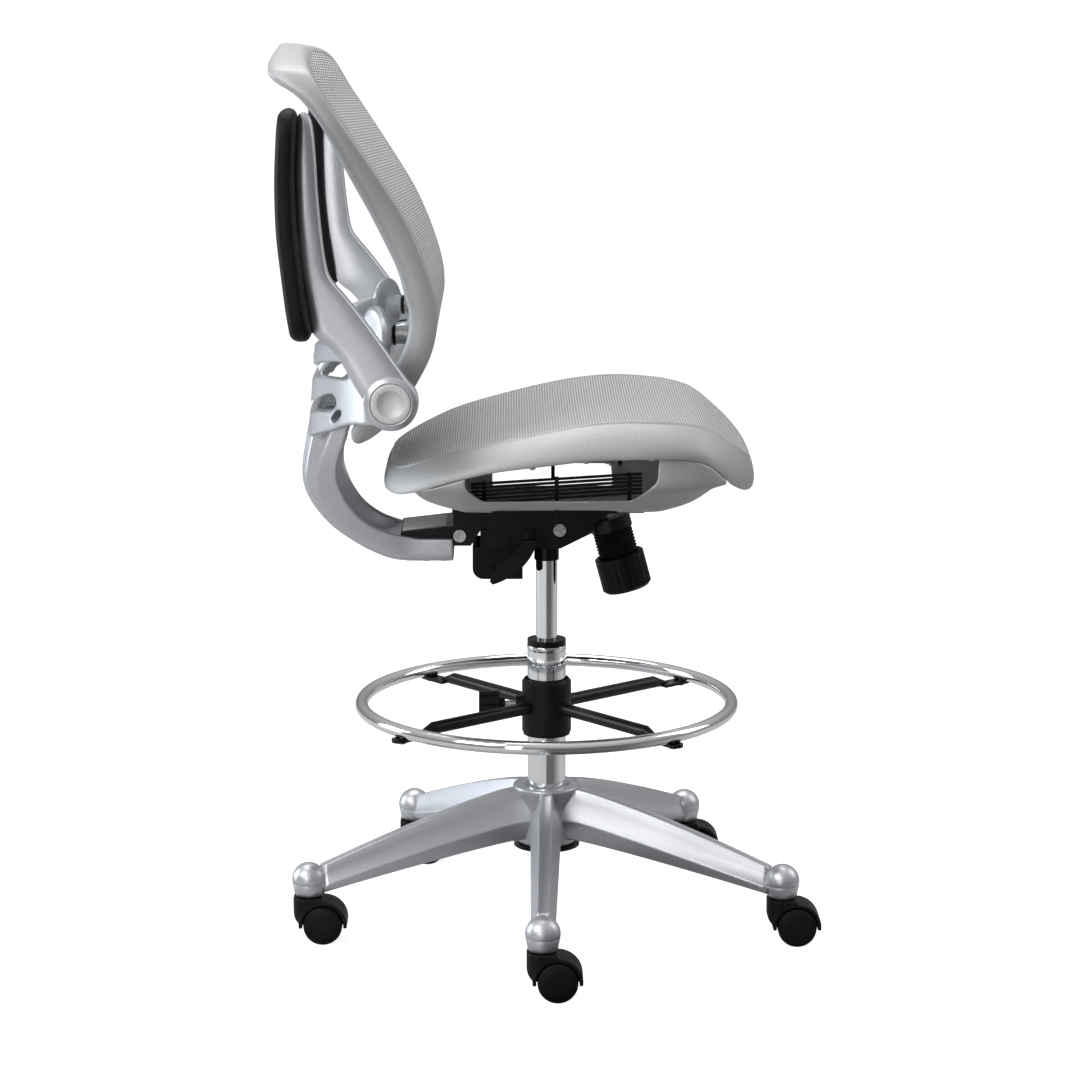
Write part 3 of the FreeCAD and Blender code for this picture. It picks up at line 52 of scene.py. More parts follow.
# ---- camera ----
def add_camera():
    """A long lens a little above the backrest's top, looking down at the chair's right side."""
    azimuth, down = math.radians(-0.7), math.radians(10.836)
    distance, height = 3.9765, 1.2742
    data = bpy.data.cameras.new("camera")
    data.lens, data.sensor_width = 104.77, 36.0
    data.shift_x, data.shift_y = -0.0061, -0.0045
    camera = bpy.data.objects.new("camera", data)
    camera.location = (distance * math.sin(azimuth), -distance * math.cos(azimuth), height)
    camera.rotation_euler = (math.pi / 2 - down, 0, azimuth)
    bpy.context.collection.objects.link(camera)
    bpy.context.scene.camera = camera


add_camera()


# ---- curves and meshes ----
def spline(points, count):
    """Evenly spaced points on a smooth curve through the given ones."""
    pts = [Vector(p) for p in points]
    ends = [pts[0] * 2 - pts[1]] + pts + [pts[-1] * 2 - pts[-2]]
    fine = []
    for a, b, c, d in zip(ends, ends[1:], ends[2:], ends[3:]):
        for k in range(24):
            t = k / 24
            fine.append(0.5 * (2 * b + (c - a) * t + (2 * a - 5 * b + 4 * c - d) * t * t
                               + (3 * b - a - 3 * c + d) * t ** 3))
    fine.append(pts[-1])
    return resample(fine, count)


def resample(points, count):
    """The given number of evenly spaced points along a polyline."""
    lengths = [0.0]
    for a, b in zip(points, points[1:]):
        lengths.append(lengths[-1] + (b - a).length)
    out, k = [], 0
    for i in range(count):
        want = lengths[-1] * i / (count - 1)
        while k < len(points) - 2 and lengths[k + 1] < want:
            k += 1
        span = lengths[k + 1] - lengths[k]
        out.append(points[k].lerp(points[k + 1], (want - lengths[k]) / span if span else 0.0))
    return out


def height_on(line, x):
    """The second value of a smooth (x, z) line at one x."""
    if x <= line[0][0]:
        return line[0][1]
    for a, b in zip(line, line[1:]):
        if a[0] <= x <= b[0]:
            return a[1] + (b[1] - a[1]) * (x - a[0]) / (b[0] - a[0])
    return line[-1][1]


def smooth_line(pairs, count=120):
    """A dense (x, z) line through a few pairs."""
    return [(p.x, p.y) for p in spline([(a, b, 0) for a, b in pairs], count)]


def add_object(name, data):
    """A new object in the scene, with this mesh or lamp."""
    obj = bpy.data.objects.new(name, data)
    bpy.context.collection.objects.link(obj)
    return obj


def mesh_object(name, verts, faces):
    """A smooth-shaded object from points and faces, with its faces turned outwards."""
    mesh = bpy.data.meshes.new(name)
    mesh.from_pydata([tuple(v) for v in verts], [], faces)
    mesh.validate()
    body = bmesh.new()
    body.from_mesh(mesh)
    bmesh.ops.recalc_face_normals(body, faces=body.faces)
    body.to_mesh(mesh)
    body.free()
    for face in mesh.polygons:
        face.use_smooth = True
    return add_object(name, mesh)


def ring_faces(rings, size, wrap_rings):
    """Quads between rings of points; each ring is closed."""
    faces = []
    last = rings if wrap_rings else rings - 1
    for i in range(last):
        a, b = i * size, (i + 1) % rings * size
        faces += [(a + j, a + (j + 1) % size, b + (j + 1) % size, b + j) for j in range(size)]
    return faces


def loft(name, rings, wrap=False, caps=True):
    """A skin over rings of points, closed at its ends unless it wraps round."""
    size = len(rings[0])
    verts = [v for ring in rings for v in ring]
    faces = ring_faces(len(rings), size, wrap)
    if caps and not wrap:
        faces += [tuple(range(size)), tuple(range(len(verts) - size, len(verts)))]
    return mesh_object(name, verts, faces)


def grid(name, rows):
    """An open sheet from rows of points."""
    width = len(rows[0])
    faces = [(i * width + j, i * width + j + 1, (i + 1) * width + j + 1, (i + 1) * width + j)
             for i in range(len(rows) - 1) for j in range(width - 1)]
    return mesh_object(name, [v for row in rows for v in row], faces)


def lathe(name, profile, start, axis, sides, caps=True):
    """A turned piece: (r, along) pairs about an axis from a start point."""
    direction = Vector(axis).normalized()
    across = direction.orthogonal().normalized()
    third = direction.cross(across)
    rings = []
    for r, along in profile:
        centre = Vector(start) + direction * along
        rings.append([centre + (across * math.cos(a) + third * math.sin(a)) * max(r, 1e-5)
                      for a in (2 * math.pi * k / sides for k in range(sides))])
    return loft(name, rings, caps=caps)


def modifier(obj, kind, **settings):
    """Adds a modifier with the given settings."""
    added = obj.modifiers.new(kind.lower(), kind)
    for key, value in settings.items():
        setattr(added, key, value)


def apply_all(obj):
    """Turns an object with modifiers into its final mesh."""
    depsgraph = bpy.context.evaluated_depsgraph_get()
    mesh = bpy.data.meshes.new_from_object(obj.evaluated_get(depsgraph))
    old = obj.data
    obj.modifiers.clear()
    obj.data = mesh
    bpy.data.meshes.remove(old)
    return obj


def join(name, objects):
    """One object of several meshes that are one piece on the chair."""
    body = bmesh.new()
    for obj in objects:
        body.from_mesh(apply_all(obj).data)
    mesh = bpy.data.meshes.new(name)
    body.to_mesh(mesh)
    body.free()
    for obj in objects:
        bpy.data.objects.remove(obj)
    for face in mesh.polygons:
        face.use_smooth = True
    return add_object(name, mesh)


def mirror_copy(obj, name):
    """The same piece on the other side of the chair."""
    mesh = obj.data.copy()
    mesh.transform(Matrix.Scale(-1, 4, (0, 1, 0)))
    mesh.flip_normals()
    return add_object(name, mesh)


# ---- materials ----
class Nodes:
    """A node tree with short ways to add nodes and sums."""

    def __init__(self, owner):
        """Starts the tree of a new material or world."""
        owner.use_nodes = True
        self.tree = owner.node_tree

    def node(self, kind, **settings):
        """A new node, with its inputs or its own settings filled in."""
        made = self.tree.nodes.new(kind)
        for key, value in settings.items():
            if key in made.inputs:
                made.inputs[key].default_value = value
            else:
                setattr(made, key, value)
        return made

    def link(self, out, into):
        """Joins an output to an input."""
        self.tree.links.new(out, into)

    def span(self, value, low, high, to_low, to_high):
        """A value's range stretched to another range, and held at its ends."""
        made = self.node("ShaderNodeMapRange")
        for socket, number in zip(made.inputs[1:5], (low, high, to_low, to_high)):
            socket.default_value = number
        self.link(value, made.inputs["Value"])
        return made.outputs["Result"]

    def math(self, kind, first, second=None):
        """A sum of one or two values, each an output or a number."""
        made = self.node("ShaderNodeMath", operation=kind)
        for socket, value in zip(made.inputs, (first, second)):
            if value is None:
                continue
            if isinstance(value, (int, float)):
                socket.default_value = value
            else:
                self.link(value, socket)
        return made.outputs["Value"]


class Shader(Nodes):
    """A Principled material with short ways to add noise, colour ranges and bump."""

    def __init__(self, name, **sockets):
        """Starts a material with its plain settings."""
        self.material = bpy.data.materials.new(name)
        super().__init__(self.material)
        self.shader = self.tree.nodes["Principled BSDF"]
        for key, value in sockets.items():
            self.shader.inputs[key.replace("_", " ")].default_value = value
        self.place = self.node("ShaderNodeTexCoord").outputs["Object"]

    def noise(self, scale, detail, rough=0.5):
        """Soft noise through the object's space."""
        made = self.node("ShaderNodeTexNoise", Scale=scale, Detail=detail, Roughness=rough)
        self.link(self.place, made.inputs["Vector"])
        return made.outputs["Fac"]

    def ramp(self, value, stops):
        """A value turned into colours, from (position, colour) stops in order."""
        made = self.node("ShaderNodeValToRGB")
        ends = made.color_ramp.elements
        while len(ends) < len(stops):
            ends.new(0.5)
        for end, (at, colour) in zip(ends, stops):
            end.position = at
            end.color = (*colour, 1)
        self.link(value, made.inputs["Fac"])
        return made.outputs["Color"]

    def bump(self, value, strength, depth, after=None):
        """Surface relief from a value, on top of earlier relief if there is any."""
        made = self.node("ShaderNodeBump", Strength=strength, Distance=depth)
        self.link(value, made.inputs["Height"])
        if after:
            self.link(after, made.inputs["Normal"])
        self.link(made.outputs["Normal"], self.shader.inputs["Normal"])
        return made.outputs["Normal"]

    def set(self, socket, value):
        """Links a value to one of the material's own inputs."""
        self.link(value, self.shader.inputs[socket])


def silver_paint(name, low, high, rough, metal):
    """Sprayed silver: a fine metallic grain over a slightly uneven coat."""
    look = Shader(name, Metallic=metal)
    grain = look.noise(1500.0, 2.0, 0.6)
    cloud = look.noise(9.0, 3.0)
    look.set("Base Color", look.ramp(grain, [(0.32, low), (0.68, high)]))
    both = look.math("ADD", grain, cloud)
    look.set("Roughness", look.span(both, 0.6, 1.4, rough - 0.06, rough + 0.07))
    fine = look.bump(grain, 0.25, 0.00025)
    look.bump(look.noise(320.0, 2.0), 0.12, 0.0004, fine)
    return look.material


def polished(name, colour, rough):
    """Polished plating with faint cloudiness."""
    look = Shader(name, Metallic=1.0, Base_Color=(*colour, 1))
    cloud = look.noise(30.0, 4.0)
    look.set("Roughness", look.span(cloud, 0.3, 0.7, rough, rough + 0.05))
    look.bump(look.noise(14.0, 2.0), 0.05, 0.0006)
    return look.material


def black_moulding(name, colour, rough, grain_scale, depth):
    """Black plastic or rubber with a moulded grain and worn, slightly lighter high spots."""
    look = Shader(name, Specular_IOR_Level=0.14)
    grain = look.noise(grain_scale, 3.0, 0.6)
    cloud = look.noise(18.0, 4.0)
    lighter = tuple(min(1.0, c * 1.9 + 0.004) for c in colour)
    worn = look.math("MULTIPLY", grain, cloud)
    look.set("Base Color", look.ramp(worn, [(0.12, colour), (0.45, lighter)]))
    look.set("Roughness", look.span(cloud, 0.3, 0.7, rough - 0.07, rough + 0.07))
    look.bump(grain, 0.35, depth)
    return look.material


def enamel(name, colour, rough):
    """Glossy black stoving enamel over pressed steel."""
    look = Shader(name, Specular_IOR_Level=0.18, Coat_Weight=0.12, Coat_Roughness=0.16)
    cloud = look.noise(40.0, 3.0)
    lighter = tuple(c * 2.2 for c in colour)
    look.set("Base Color", look.ramp(cloud, [(0.35, colour), (0.7, lighter)]))
    look.set("Roughness", look.span(cloud, 0.3, 0.7, rough, rough + 0.12))
    look.bump(look.noise(600.0, 2.0), 0.12, 0.0002)
    return look.material


def zinc(name):
    """Plated steel for screws and pins, lightly brushed."""
    look = Shader(name, Metallic=1.0)
    grain = look.noise(260.0, 4.0, 0.7)
    look.set("Base Color", look.ramp(grain, [(0.3, (0.4, 0.4, 0.39)), (0.7, (0.66, 0.66, 0.65))]))
    look.set("Roughness", look.span(grain, 0.3, 0.7, 0.22, 0.4))
    look.bump(grain, 0.1, 0.0002)
    return look.material


def woven(name, across, along, light, dark, pitch_across, pitch_along, cover):
    """An open woven mesh: ribs one way, finer threads the other, and gaps that show through."""
    look = Shader(name, Roughness=0.8, Specular_IOR_Level=0.25)
    split = look.node("ShaderNodeSeparateXYZ")
    look.link(look.place, split.inputs["Vector"])

    def waves(weights, pitch):
        """Even ribs across one direction."""
        path = None
        for axis, weight in enumerate(weights):
            if weight:
                part = look.math("MULTIPLY", split.outputs[axis], weight * 2 * math.pi / pitch)
                path = part if path is None else look.math("ADD", path, part)
        return look.math("SINE", path)

    ribs, threads = waves(across, pitch_across), waves(along, pitch_along)
    yarn = look.noise(900.0, 3.0, 0.7)
    body = look.math("MAXIMUM", ribs, look.math("MULTIPLY", threads, 0.85))
    shade = look.math("ADD", body, look.math("MULTIPLY", yarn, 0.5))
    shade = look.span(shade, -0.6, 1.3, 0.0, 1.0)
    look.set("Base Color", look.ramp(shade, [(0.15, dark), (0.75, light)]))
    look.set("Alpha", look.span(body, cover - 0.25, cover + 0.25, 0.45, 1.0))
    look.bump(look.math("ADD", body, look.math("MULTIPLY", yarn, 0.6)), 0.8, 0.0006)
    return look.material


black = (0.003, 0.003, 0.0033)
# Each slot's finish, with its settings in the order of the function's parameters.
looks = {name: make(name, *settings) for name, make, settings in (
    ("silver_paint", silver_paint, ((0.47, 0.48, 0.51), (0.66, 0.67, 0.7), 0.38, 0.85)),
    ("silver_plastic", silver_paint, ((0.35, 0.354, 0.36), (0.56, 0.565, 0.572), 0.58, 0.6)),
    ("arm_cap", silver_paint, ((0.44, 0.445, 0.445), (0.78, 0.78, 0.78), 0.6, 0.5)),
    ("chrome", polished, ((0.86, 0.87, 0.88), 0.04)),
    ("black_steel", enamel, (black, 0.28)),
    ("black_plastic", black_moulding, ((0.0035, 0.0035, 0.004), 0.42, 420.0, 0.0003)),
    ("black_rubber", black_moulding, ((0.006, 0.006, 0.0065), 0.5, 240.0, 0.0003)),
    ("wheel_black", black_moulding, ((0.003, 0.003, 0.0035), 0.5, 700.0, 0.0002)),
    ("pad_black", black_moulding, ((0.003, 0.003, 0.0034), 0.48, 300.0, 0.0004)),
    ("steel", zinc, ()),
    ("grey_strip", silver_paint, ((0.42, 0.42, 0.43), (0.64, 0.64, 0.65), 0.5, 0.1)),
    ("seat_mesh", woven, ((1, 0, 0), (0, 1, 0), (0.54, 0.545, 0.55), (0.09, 0.092, 0.096),
                          0.0034, 0.005, -0.15)),
    ("back_mesh", woven, ((0, 0.05, 1), (0, -0.13, 1), (0.62, 0.625, 0.635), (0.15, 0.152, 0.158),
                          0.0032, 0.0046, 0.05)))}


def dress(obj, body, slot, *nodes):
    """Gives a new piece its body, its finish and the solids it stands for."""
    obj.data.materials.clear()
    obj.data.materials.append(looks[slot])
    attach(obj, body)
    if nodes:
        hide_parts(*nodes)


slot_of_node = {part["node"]: part["material_slot"] for part in frame["record"]["subparts"]}
for node, obj in frame["nodes"].items():
    obj.data.materials.clear()
    obj.data.materials.append(looks[slot_of_node[node]])


def solid_copy(name, *nodes):
    """A working copy of CAD solids, to be softened into a casting or moulding."""
    body = bmesh.new()
    for node in nodes:
        body.from_mesh(frame["nodes"][node].data)
    bmesh.ops.remove_doubles(body, verts=body.verts, dist=1e-5)
    mesh = bpy.data.meshes.new(name)
    body.to_mesh(mesh)
    body.free()
    return add_object(name, mesh)


def softened(obj, voxel, rounds):
    """Rounds the edges of a closed mesh, as casting and paint do."""
    modifier(obj, "REMESH", mode="VOXEL", voxel_size=voxel, use_smooth_shade=True)
    modifier(obj, "SMOOTH", factor=0.5, iterations=rounds)
    return apply_all(obj)


# ---- seat ----
# Half outlines of the seat from above, front middle to rear middle: first the rim's outside, then its
# seam with the mesh. After them, the heights along x of the seam and of the rim's foot.
seat_plan = [
    (0.2665, 0.0), (0.266, 0.05), (0.2622, 0.1), (0.2495, 0.147), (0.225, 0.184), (0.198, 0.209),
    (0.165, 0.226), (0.12, 0.234), (0.06, 0.2352), (-0.03, 0.235), (-0.08, 0.23), (-0.12, 0.219),
    (-0.15, 0.204), (-0.173, 0.183), (-0.191, 0.152), (-0.2015, 0.115), (-0.2058, 0.065),
    (-0.2062, 0.0)]
seam_plan = [
    (0.2555, 0.0), (0.255, 0.05), (0.2515, 0.1), (0.24, 0.138), (0.216, 0.168), (0.187, 0.187),
    (0.155, 0.199), (0.12, 0.2062), (0.08, 0.208), (0.03, 0.208), (-0.02, 0.2072), (-0.06, 0.204),
    (-0.1, 0.195), (-0.13, 0.184), (-0.156, 0.167), (-0.178, 0.144), (-0.1905, 0.113), (-0.1968, 0.065),
    (-0.1978, 0.0)]
seat_seam = smooth_line([
    (-0.204, 0.6215), (-0.196, 0.6218), (-0.1854, 0.6242), (-0.1556, 0.6364), (-0.1233, 0.6489),
    (-0.0932, 0.6578), (-0.062, 0.6656), (-0.0309, 0.6732), (0.0002, 0.6803), (0.0308, 0.6863),
    (0.0618, 0.6903), (0.0925, 0.6922), (0.1237, 0.6912), (0.1551, 0.6889), (0.1858, 0.6828),
    (0.2023, 0.6747), (0.2197, 0.6617), (0.2385, 0.6461), (0.254, 0.631), (0.267, 0.62)])
seat_under = smooth_line([
    (-0.208, 0.595), (-0.1983, 0.5945), (-0.1897, 0.5948), (-0.1823, 0.5962), (-0.1717, 0.5998),
    (-0.155, 0.6058), (-0.1232, 0.6175), (-0.0921, 0.6272), (-0.062, 0.634), (-0.0313, 0.6383),
    (0.0, 0.642), (0.0458, 0.6472), (0.092, 0.649), (0.1366, 0.6489), (0.1696, 0.6465), (0.1908, 0.64),
    (0.204, 0.63), (0.2147, 0.6197), (0.2257, 0.6081), (0.2372, 0.6), (0.248, 0.595), (0.267, 0.5925)])


def plan_loop(half, count):
    """Evenly spaced points round an outline given as its half from front middle to rear middle."""
    right = spline([(x, y, 0) for x, y in half], count // 2 + 1)
    return right + [Vector((p.x, -p.y, 0)) for p in right[-2:0:-1]]


def seat_rim():
    """The moulded rim: a fine lip at the seam, a broad face that leans out, a foot tucked in below."""
    # Points of the section: share of the way from the outside to the seam, lift, share of the way down.
    lip = [
        (1.1, -0.011, 0.0), (1.07, -0.01, 0.0), (1.05, -0.0002, 0.0), (1.035, 0.0011, 0.0),
        (1.0, 0.0015, 0.0), (0.975, 0.0008, 0.0)]
    face = [
        (0.955, 0.0, 0.025), (0.9, 0.0, 0.05), (0.8, 0.0, 0.1), (0.65, 0.0, 0.18), (0.5, 0.0, 0.27),
        (0.36, 0.0, 0.37), (0.24, 0.0, 0.47), (0.13, 0.0, 0.58), (0.05, 0.0, 0.69), (0.008, 0.0, 0.79),
        (0.0, 0.0, 0.88), (0.0, 0.0, 0.955), (0.025, 0.0, 0.98), (0.07, 0.0, 0.993)]
    foot = [
        (0.14, 0.0, 1.0), (0.3, 0.0003, 1.0), (0.6, 0.0006, 1.0), (0.899, 0.0012, 1.0),
        (1.0, 0.006, 1.0)]
    outer, seam = plan_loop(seat_plan, 320), plan_loop(seam_plan, 320)
    rings = []
    for edge, inner in zip(outer, seam):
        ring = []
        lean = 0.6 * min(1.0, max(0.0, (edge.x - 0.2) / 0.05))
        for share, lift, down in lip + face + foot:
            at = edge.lerp(inner, share + lean * max(0.0, down - 0.12) if share < 0.9 else share)
            top, low = height_on(seat_seam, at.x), height_on(seat_under, at.x)
            ring.append(Vector((at.x, at.y, top + (low - top) * down + lift)))
        rings.append(ring)
    return loft("seat_rim", rings, wrap=True)


def seat_weave():
    """The mesh, stretched from seam to seam and sagging a little in the middle."""
    gap, sag, steps_along, steps_across = 0.0004, 0.004, 130, 72
    edge = smooth_line(seam_plan[::-1], 400)
    x0, x1 = seam_plan[-1][0] + gap, seam_plan[0][0] - gap
    rows = []
    for i in range(steps_along + 1):
        x = (x0 + x1) / 2 - (x1 - x0) / 2 * math.cos(math.pi * i / steps_along)
        wide = height_on(edge, x) - gap
        depth = sag * (1 - (2 * (x - x0) / (x1 - x0) - 1) ** 4)
        rows.append([Vector((x, t * wide, height_on(seat_seam, x) - gap - depth * (1 - t * t)))
                     for t in (2 * j / steps_across - 1 for j in range(steps_across + 1))])
    return grid("seat_weave", rows), rows


def add_sheet(made, body, node):
    obj, rows = made
    modifier(obj, "SOLIDIFY", thickness=0.001, offset=0)
    apply_all(obj)
    dress(obj, body, node, node)


dress(seat_rim(), "seat", "silver_plastic", "seat_frame")
add_sheet(seat_weave(), "seat", "seat_mesh")


# ---- seat cradle ----
# x, heights of floor and bilge, half widths of floor, bilge and side.
cradle_lines = [
    (-0.174, 0.596, 0.603, 0.063, 0.14, 0.194), (-0.152, 0.577, 0.588, 0.084, 0.161, 0.215),
    (-0.113, 0.563, 0.578, 0.095, 0.172, 0.226), (-0.084, 0.56, 0.576, 0.095, 0.172, 0.226),
    (0.02, 0.56, 0.576, 0.095, 0.172, 0.226), (0.122, 0.56, 0.576, 0.095, 0.172, 0.226),
    (0.15, 0.563, 0.579, 0.093, 0.17, 0.224), (0.178, 0.573, 0.588, 0.087, 0.164, 0.218),
    (0.202, 0.59, 0.602, 0.077, 0.154, 0.208), (0.218, 0.607, 0.614, 0.065, 0.142, 0.196)]


def hull(name, inset):
    """The boat-shaped outside of the cradle, or the hollow inside it, open upwards."""
    middle_x, half_length, side_z, top_z = 0.022, 0.196, 0.611, 0.7
    lines = [spline([(row[0], row[k], 0) for row in cradle_lines], 61) for k in range(1, 6)]
    rings = []
    for points in zip(*lines):
        floor_z, bilge_z, floor_y, bilge_y, side_y = [p.y for p in points]
        x = middle_x + (points[0].x - middle_x) * (1 - inset / half_length)
        half = [
            (0.0, floor_z + inset), (floor_y - inset * 0.3, floor_z + inset),
            (bilge_y - inset, bilge_z + inset * 0.9), (side_y - inset, side_z), (side_y - inset, top_z)]
        fine = resample([Vector((y, z, 0)) for y, z in half], 61)
        for _ in range(3):
            inside = [(a + b * 2 + c) / 4 for a, b, c in zip(fine, fine[1:], fine[2:])]
            fine = fine[:1] + inside + fine[-1:]
        right = [Vector((x, p.x, p.y)) for p in fine]
        rings.append(right + [Vector((x, -p.y, p.z)) for p in right[:0:-1]])
    return loft(name, rings)


def prism(name, outline, axis, low, high):
    """An upright or sideways block with a given outline, for cutting."""
    place = {"y": lambda a, b, c: Vector((a, c, b)), "z": lambda a, b, c: Vector((a, b, c))}[axis]
    return loft(name, [[place(a, b, level) for a, b in outline] for level in (low, high)])


def cut(obj, others):
    """Cuts the other objects out of the first, and removes them."""
    for other in others:
        modifier(obj, "BOOLEAN", operation="DIFFERENCE", solver="EXACT", object=other)
    apply_all(obj)
    for other in others:
        bpy.data.objects.remove(other)
    return obj


def round_corners(points, r, steps=6):
    """An outline with each corner rounded."""
    out = []
    for a, b, c in zip([points[-1]] + points[:-1], points, points[1:] + points[:1]):
        a, b, c = Vector(a), Vector(b), Vector(c)
        first, second = b + (a - b).normalized() * r, b + (c - b).normalized() * r
        for k in range(steps + 1):
            t = k / steps
            out.append(tuple(first * (1 - t) ** 2 + b * 2 * t * (1 - t) + second * t * t))
    return out


def cradle():
    """The hull under the seat: open above, a window in each side, two openings in its floor."""
    wall, reach = 0.004, 0.24
    over = [(x, z + 0.0006) for x, z in seat_under[::3]] + [(0.27, 0.72), (-0.21, 0.72)]
    window = round_corners([(-0.1, 0.72), (-0.101, 0.6125), (-0.08, 0.5915), (0.102, 0.5925),
                            (0.132, 0.6215), (0.137, 0.72)], 0.006)
    cuts = [hull("cradle_hollow", wall), prism("cradle_top", over, "y", -reach, reach),
            prism("cradle_window", window, "y", -reach, reach)]
    for side in (-1, 1):
        hole = round_corners([(-0.07, side * 0.082), (0.088, side * 0.082), (0.088, side * 0.172),
                              (-0.07, side * 0.172)], 0.014)
        cuts.append(prism("cradle_hole", hole, "z", 0.54, 0.59))
    obj = softened(cut(hull("cradle_hull", 0.0), cuts), voxel=0.0014, rounds=4)
    modifier(obj, "DECIMATE", ratio=0.35)
    return apply_all(obj)


dress(cradle(), "seat", "silver_plastic", "seat_cradle")


# ---- backrest ----
# The x of the backrest's front and rear faces at each height (z, x).
back_front = smooth_line([
    (0.655, -0.224), (0.661, -0.223), (0.683, -0.2), (0.712, -0.178), (0.741, -0.159), (0.775, -0.142),
    (0.806, -0.1345), (0.828, -0.134), (0.844, -0.136), (0.868, -0.142), (0.905, -0.155),
    (0.944, -0.173), (0.983, -0.197), (1.0195, -0.221), (1.0465, -0.239), (1.0765, -0.259),
    (1.103, -0.274), (1.121, -0.286), (1.133, -0.298), (1.1384, -0.311), (1.142, -0.32)], 240)
back_rear = smooth_line([
    (0.655, -0.243), (0.681, -0.24), (0.71, -0.22), (0.745, -0.197), (0.78, -0.177), (0.806, -0.169),
    (0.83, -0.169), (0.8485, -0.174), (0.879, -0.182), (0.912, -0.197), (0.9485, -0.215),
    (0.9936, -0.239), (1.0325, -0.259), (1.058, -0.274), (1.08, -0.291), (1.0906, -0.303),
    (1.0975, -0.315), (1.1055, -0.327), (1.119, -0.336), (1.131, -0.338), (1.142, -0.339)], 240)


def back_loop(inset, count):
    """The backrest's front view as evenly spaced points, inset all round; its top rail is narrow."""
    top_in = inset if inset < 0.01 else 0.01 + (inset - 0.01) * 0.06
    low, low_r, top_r, middle = 0.655 + inset, 0.09 - inset, 0.06 - inset * 1.05, 1.14 - top_in
    low_half, mid_half, top_half = 0.228 - inset, 0.238 - inset, 0.262 - inset
    shoulder = 1.124 - top_in
    half = [
        (0.0, low), (low_half - low_r, low), (low_half - low_r * 0.29, low + low_r * 0.29),
        (low_half, low + low_r), (0.2315 - inset, 0.83), (mid_half, 0.93), (0.2505 - inset, 1.0),
        (top_half - 0.001, shoulder - top_r), (top_half - top_r * 0.16, shoulder - top_r * 0.3),
        (top_half - top_r * 0.62, shoulder - top_r * 0.01), (0.12, middle - 0.0055), (0.0, middle)]
    right = spline([(y, z, 0) for y, z in half], count // 2 + 1)
    return right + [Vector((-p.x, p.y, 0)) for p in right[-2:0:-1]]


def back_point(y, z, part):
    """A point of the backrest between its front and rear faces."""
    front, rear = height_on(back_front, z), height_on(back_rear, z)
    return Vector((front + (rear - front) * part, y, z))


def back_rim():
    """The moulded frame of the backrest, from an inset and a share of the depth for each point."""
    insets = (
        0.0295, 0.0265, 0.012, 0.006, 0.0038, 0.0028, 0.0014, 0.0004, 0.0, 0.0008, 0.003, 0.007, 0.013,
        0.02, 0.027, 0.0298, 0.03)
    parts = (
        0.0, 0.01, 0.0, 0.005, 0.03, 0.08, 0.22, 0.38, 0.52, 0.7, 0.86, 0.95, 0.985, 0.97, 0.86, 0.6,
        0.2)
    count = 320
    loops = {inset: back_loop(inset, count) for inset in set(insets)}
    rings = []
    for k in range(count):
        rings.append([back_point(loops[i][k].x, loops[i][k].y, part) for i, part in zip(insets, parts)])
    return loft("back_rim", rings, wrap=True)


def back_weave():
    """The mesh of the backrest: rows up its height, each as wide as the window there."""
    gap, inset, depth, steps_up, steps_across = 0.0004, 0.0295, 0.02, 120, 50
    edge = back_loop(inset, 400)
    right = sorted(((p.y, p.x) for p in edge if p.x >= 0), key=lambda q: q[0])
    low, high = right[0][0] + gap, right[-1][0] - gap
    rows = []
    for i in range(steps_up + 1):
        z = low + (high - low) * (0.5 - 0.5 * math.cos(math.pi * i / steps_up))
        wide = max(y for zz, y in right if abs(zz - z) < 0.004)
        for (z0, y0), (z1, y1) in zip(right, right[1:]):
            if z0 <= z <= z1 and z1 > z0:
                wide = max(y0, y1) if i in (0, steps_up) else y0 + (y1 - y0) * (z - z0) / (z1 - z0)
        rows.append([back_point(wide * (2 * j / steps_across - 1), z, depth)
                     for j in range(steps_across + 1)])
    return grid("back_weave", rows), rows


dress(back_rim(), "back", "silver_plastic", "back_frame")
add_sheet(back_weave(), "back", "back_mesh")


# ---- arms ----
# Front and rear edges of the folded-up arm bar from its top down to the pivot (x, z).
bar_front = [
    (-0.288, 1.07), (-0.2825, 1.0676), (-0.2775, 1.058), (-0.275, 1.0385), (-0.2733, 1.0119),
    (-0.2716, 0.9764), (-0.2688, 0.9407), (-0.2648, 0.9049), (-0.26, 0.881), (-0.2512, 0.8675),
    (-0.2409, 0.8554), (-0.2232, 0.8328), (-0.2025, 0.8042), (-0.1847, 0.7784), (-0.1729, 0.7617),
    (-0.164, 0.75), (-0.1575, 0.74)]
bar_rear = [
    (-0.2886, 1.07), (-0.2922, 1.0676), (-0.2942, 1.0636), (-0.2955, 1.0533), (-0.2972, 1.0297),
    (-0.2985, 1.0001), (-0.2984, 0.9705), (-0.2976, 0.9408), (-0.2961, 0.9109), (-0.2929, 0.881),
    (-0.2889, 0.857), (-0.2856, 0.8359), (-0.2818, 0.816), (-0.2745, 0.8058), (-0.2615, 0.796),
    (-0.2495, 0.7816), (-0.239, 0.7634), (-0.229, 0.7451), (-0.2215, 0.733)]
pad_rear = smooth_line([
    (0.8045, -0.3045), (0.819, -0.3058), (0.843, -0.3093), (0.8879, -0.3145), (0.9267, -0.3184),
    (0.9653, -0.3198), (1.0008, -0.3195), (1.045, -0.3171), (1.0641, -0.3153), (1.0765, -0.314)])
pad_front = smooth_line([
    (0.8045, -0.2785), (0.8182, -0.28), (0.8316, -0.2822), (0.8703, -0.2881), (0.9147, -0.2928),
    (0.9443, -0.2953), (0.9737, -0.2963), (1.003, -0.2968), (1.0323, -0.2954), (1.0614, -0.2935),
    (1.0765, -0.2925)])
bar_inner, bar_outer = [corner.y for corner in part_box("arm_left_beam")]
pad_inner, pad_outer = [corner.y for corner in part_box("arm_left_pad")]
cap_low, cap_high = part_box("arm_left_cap")
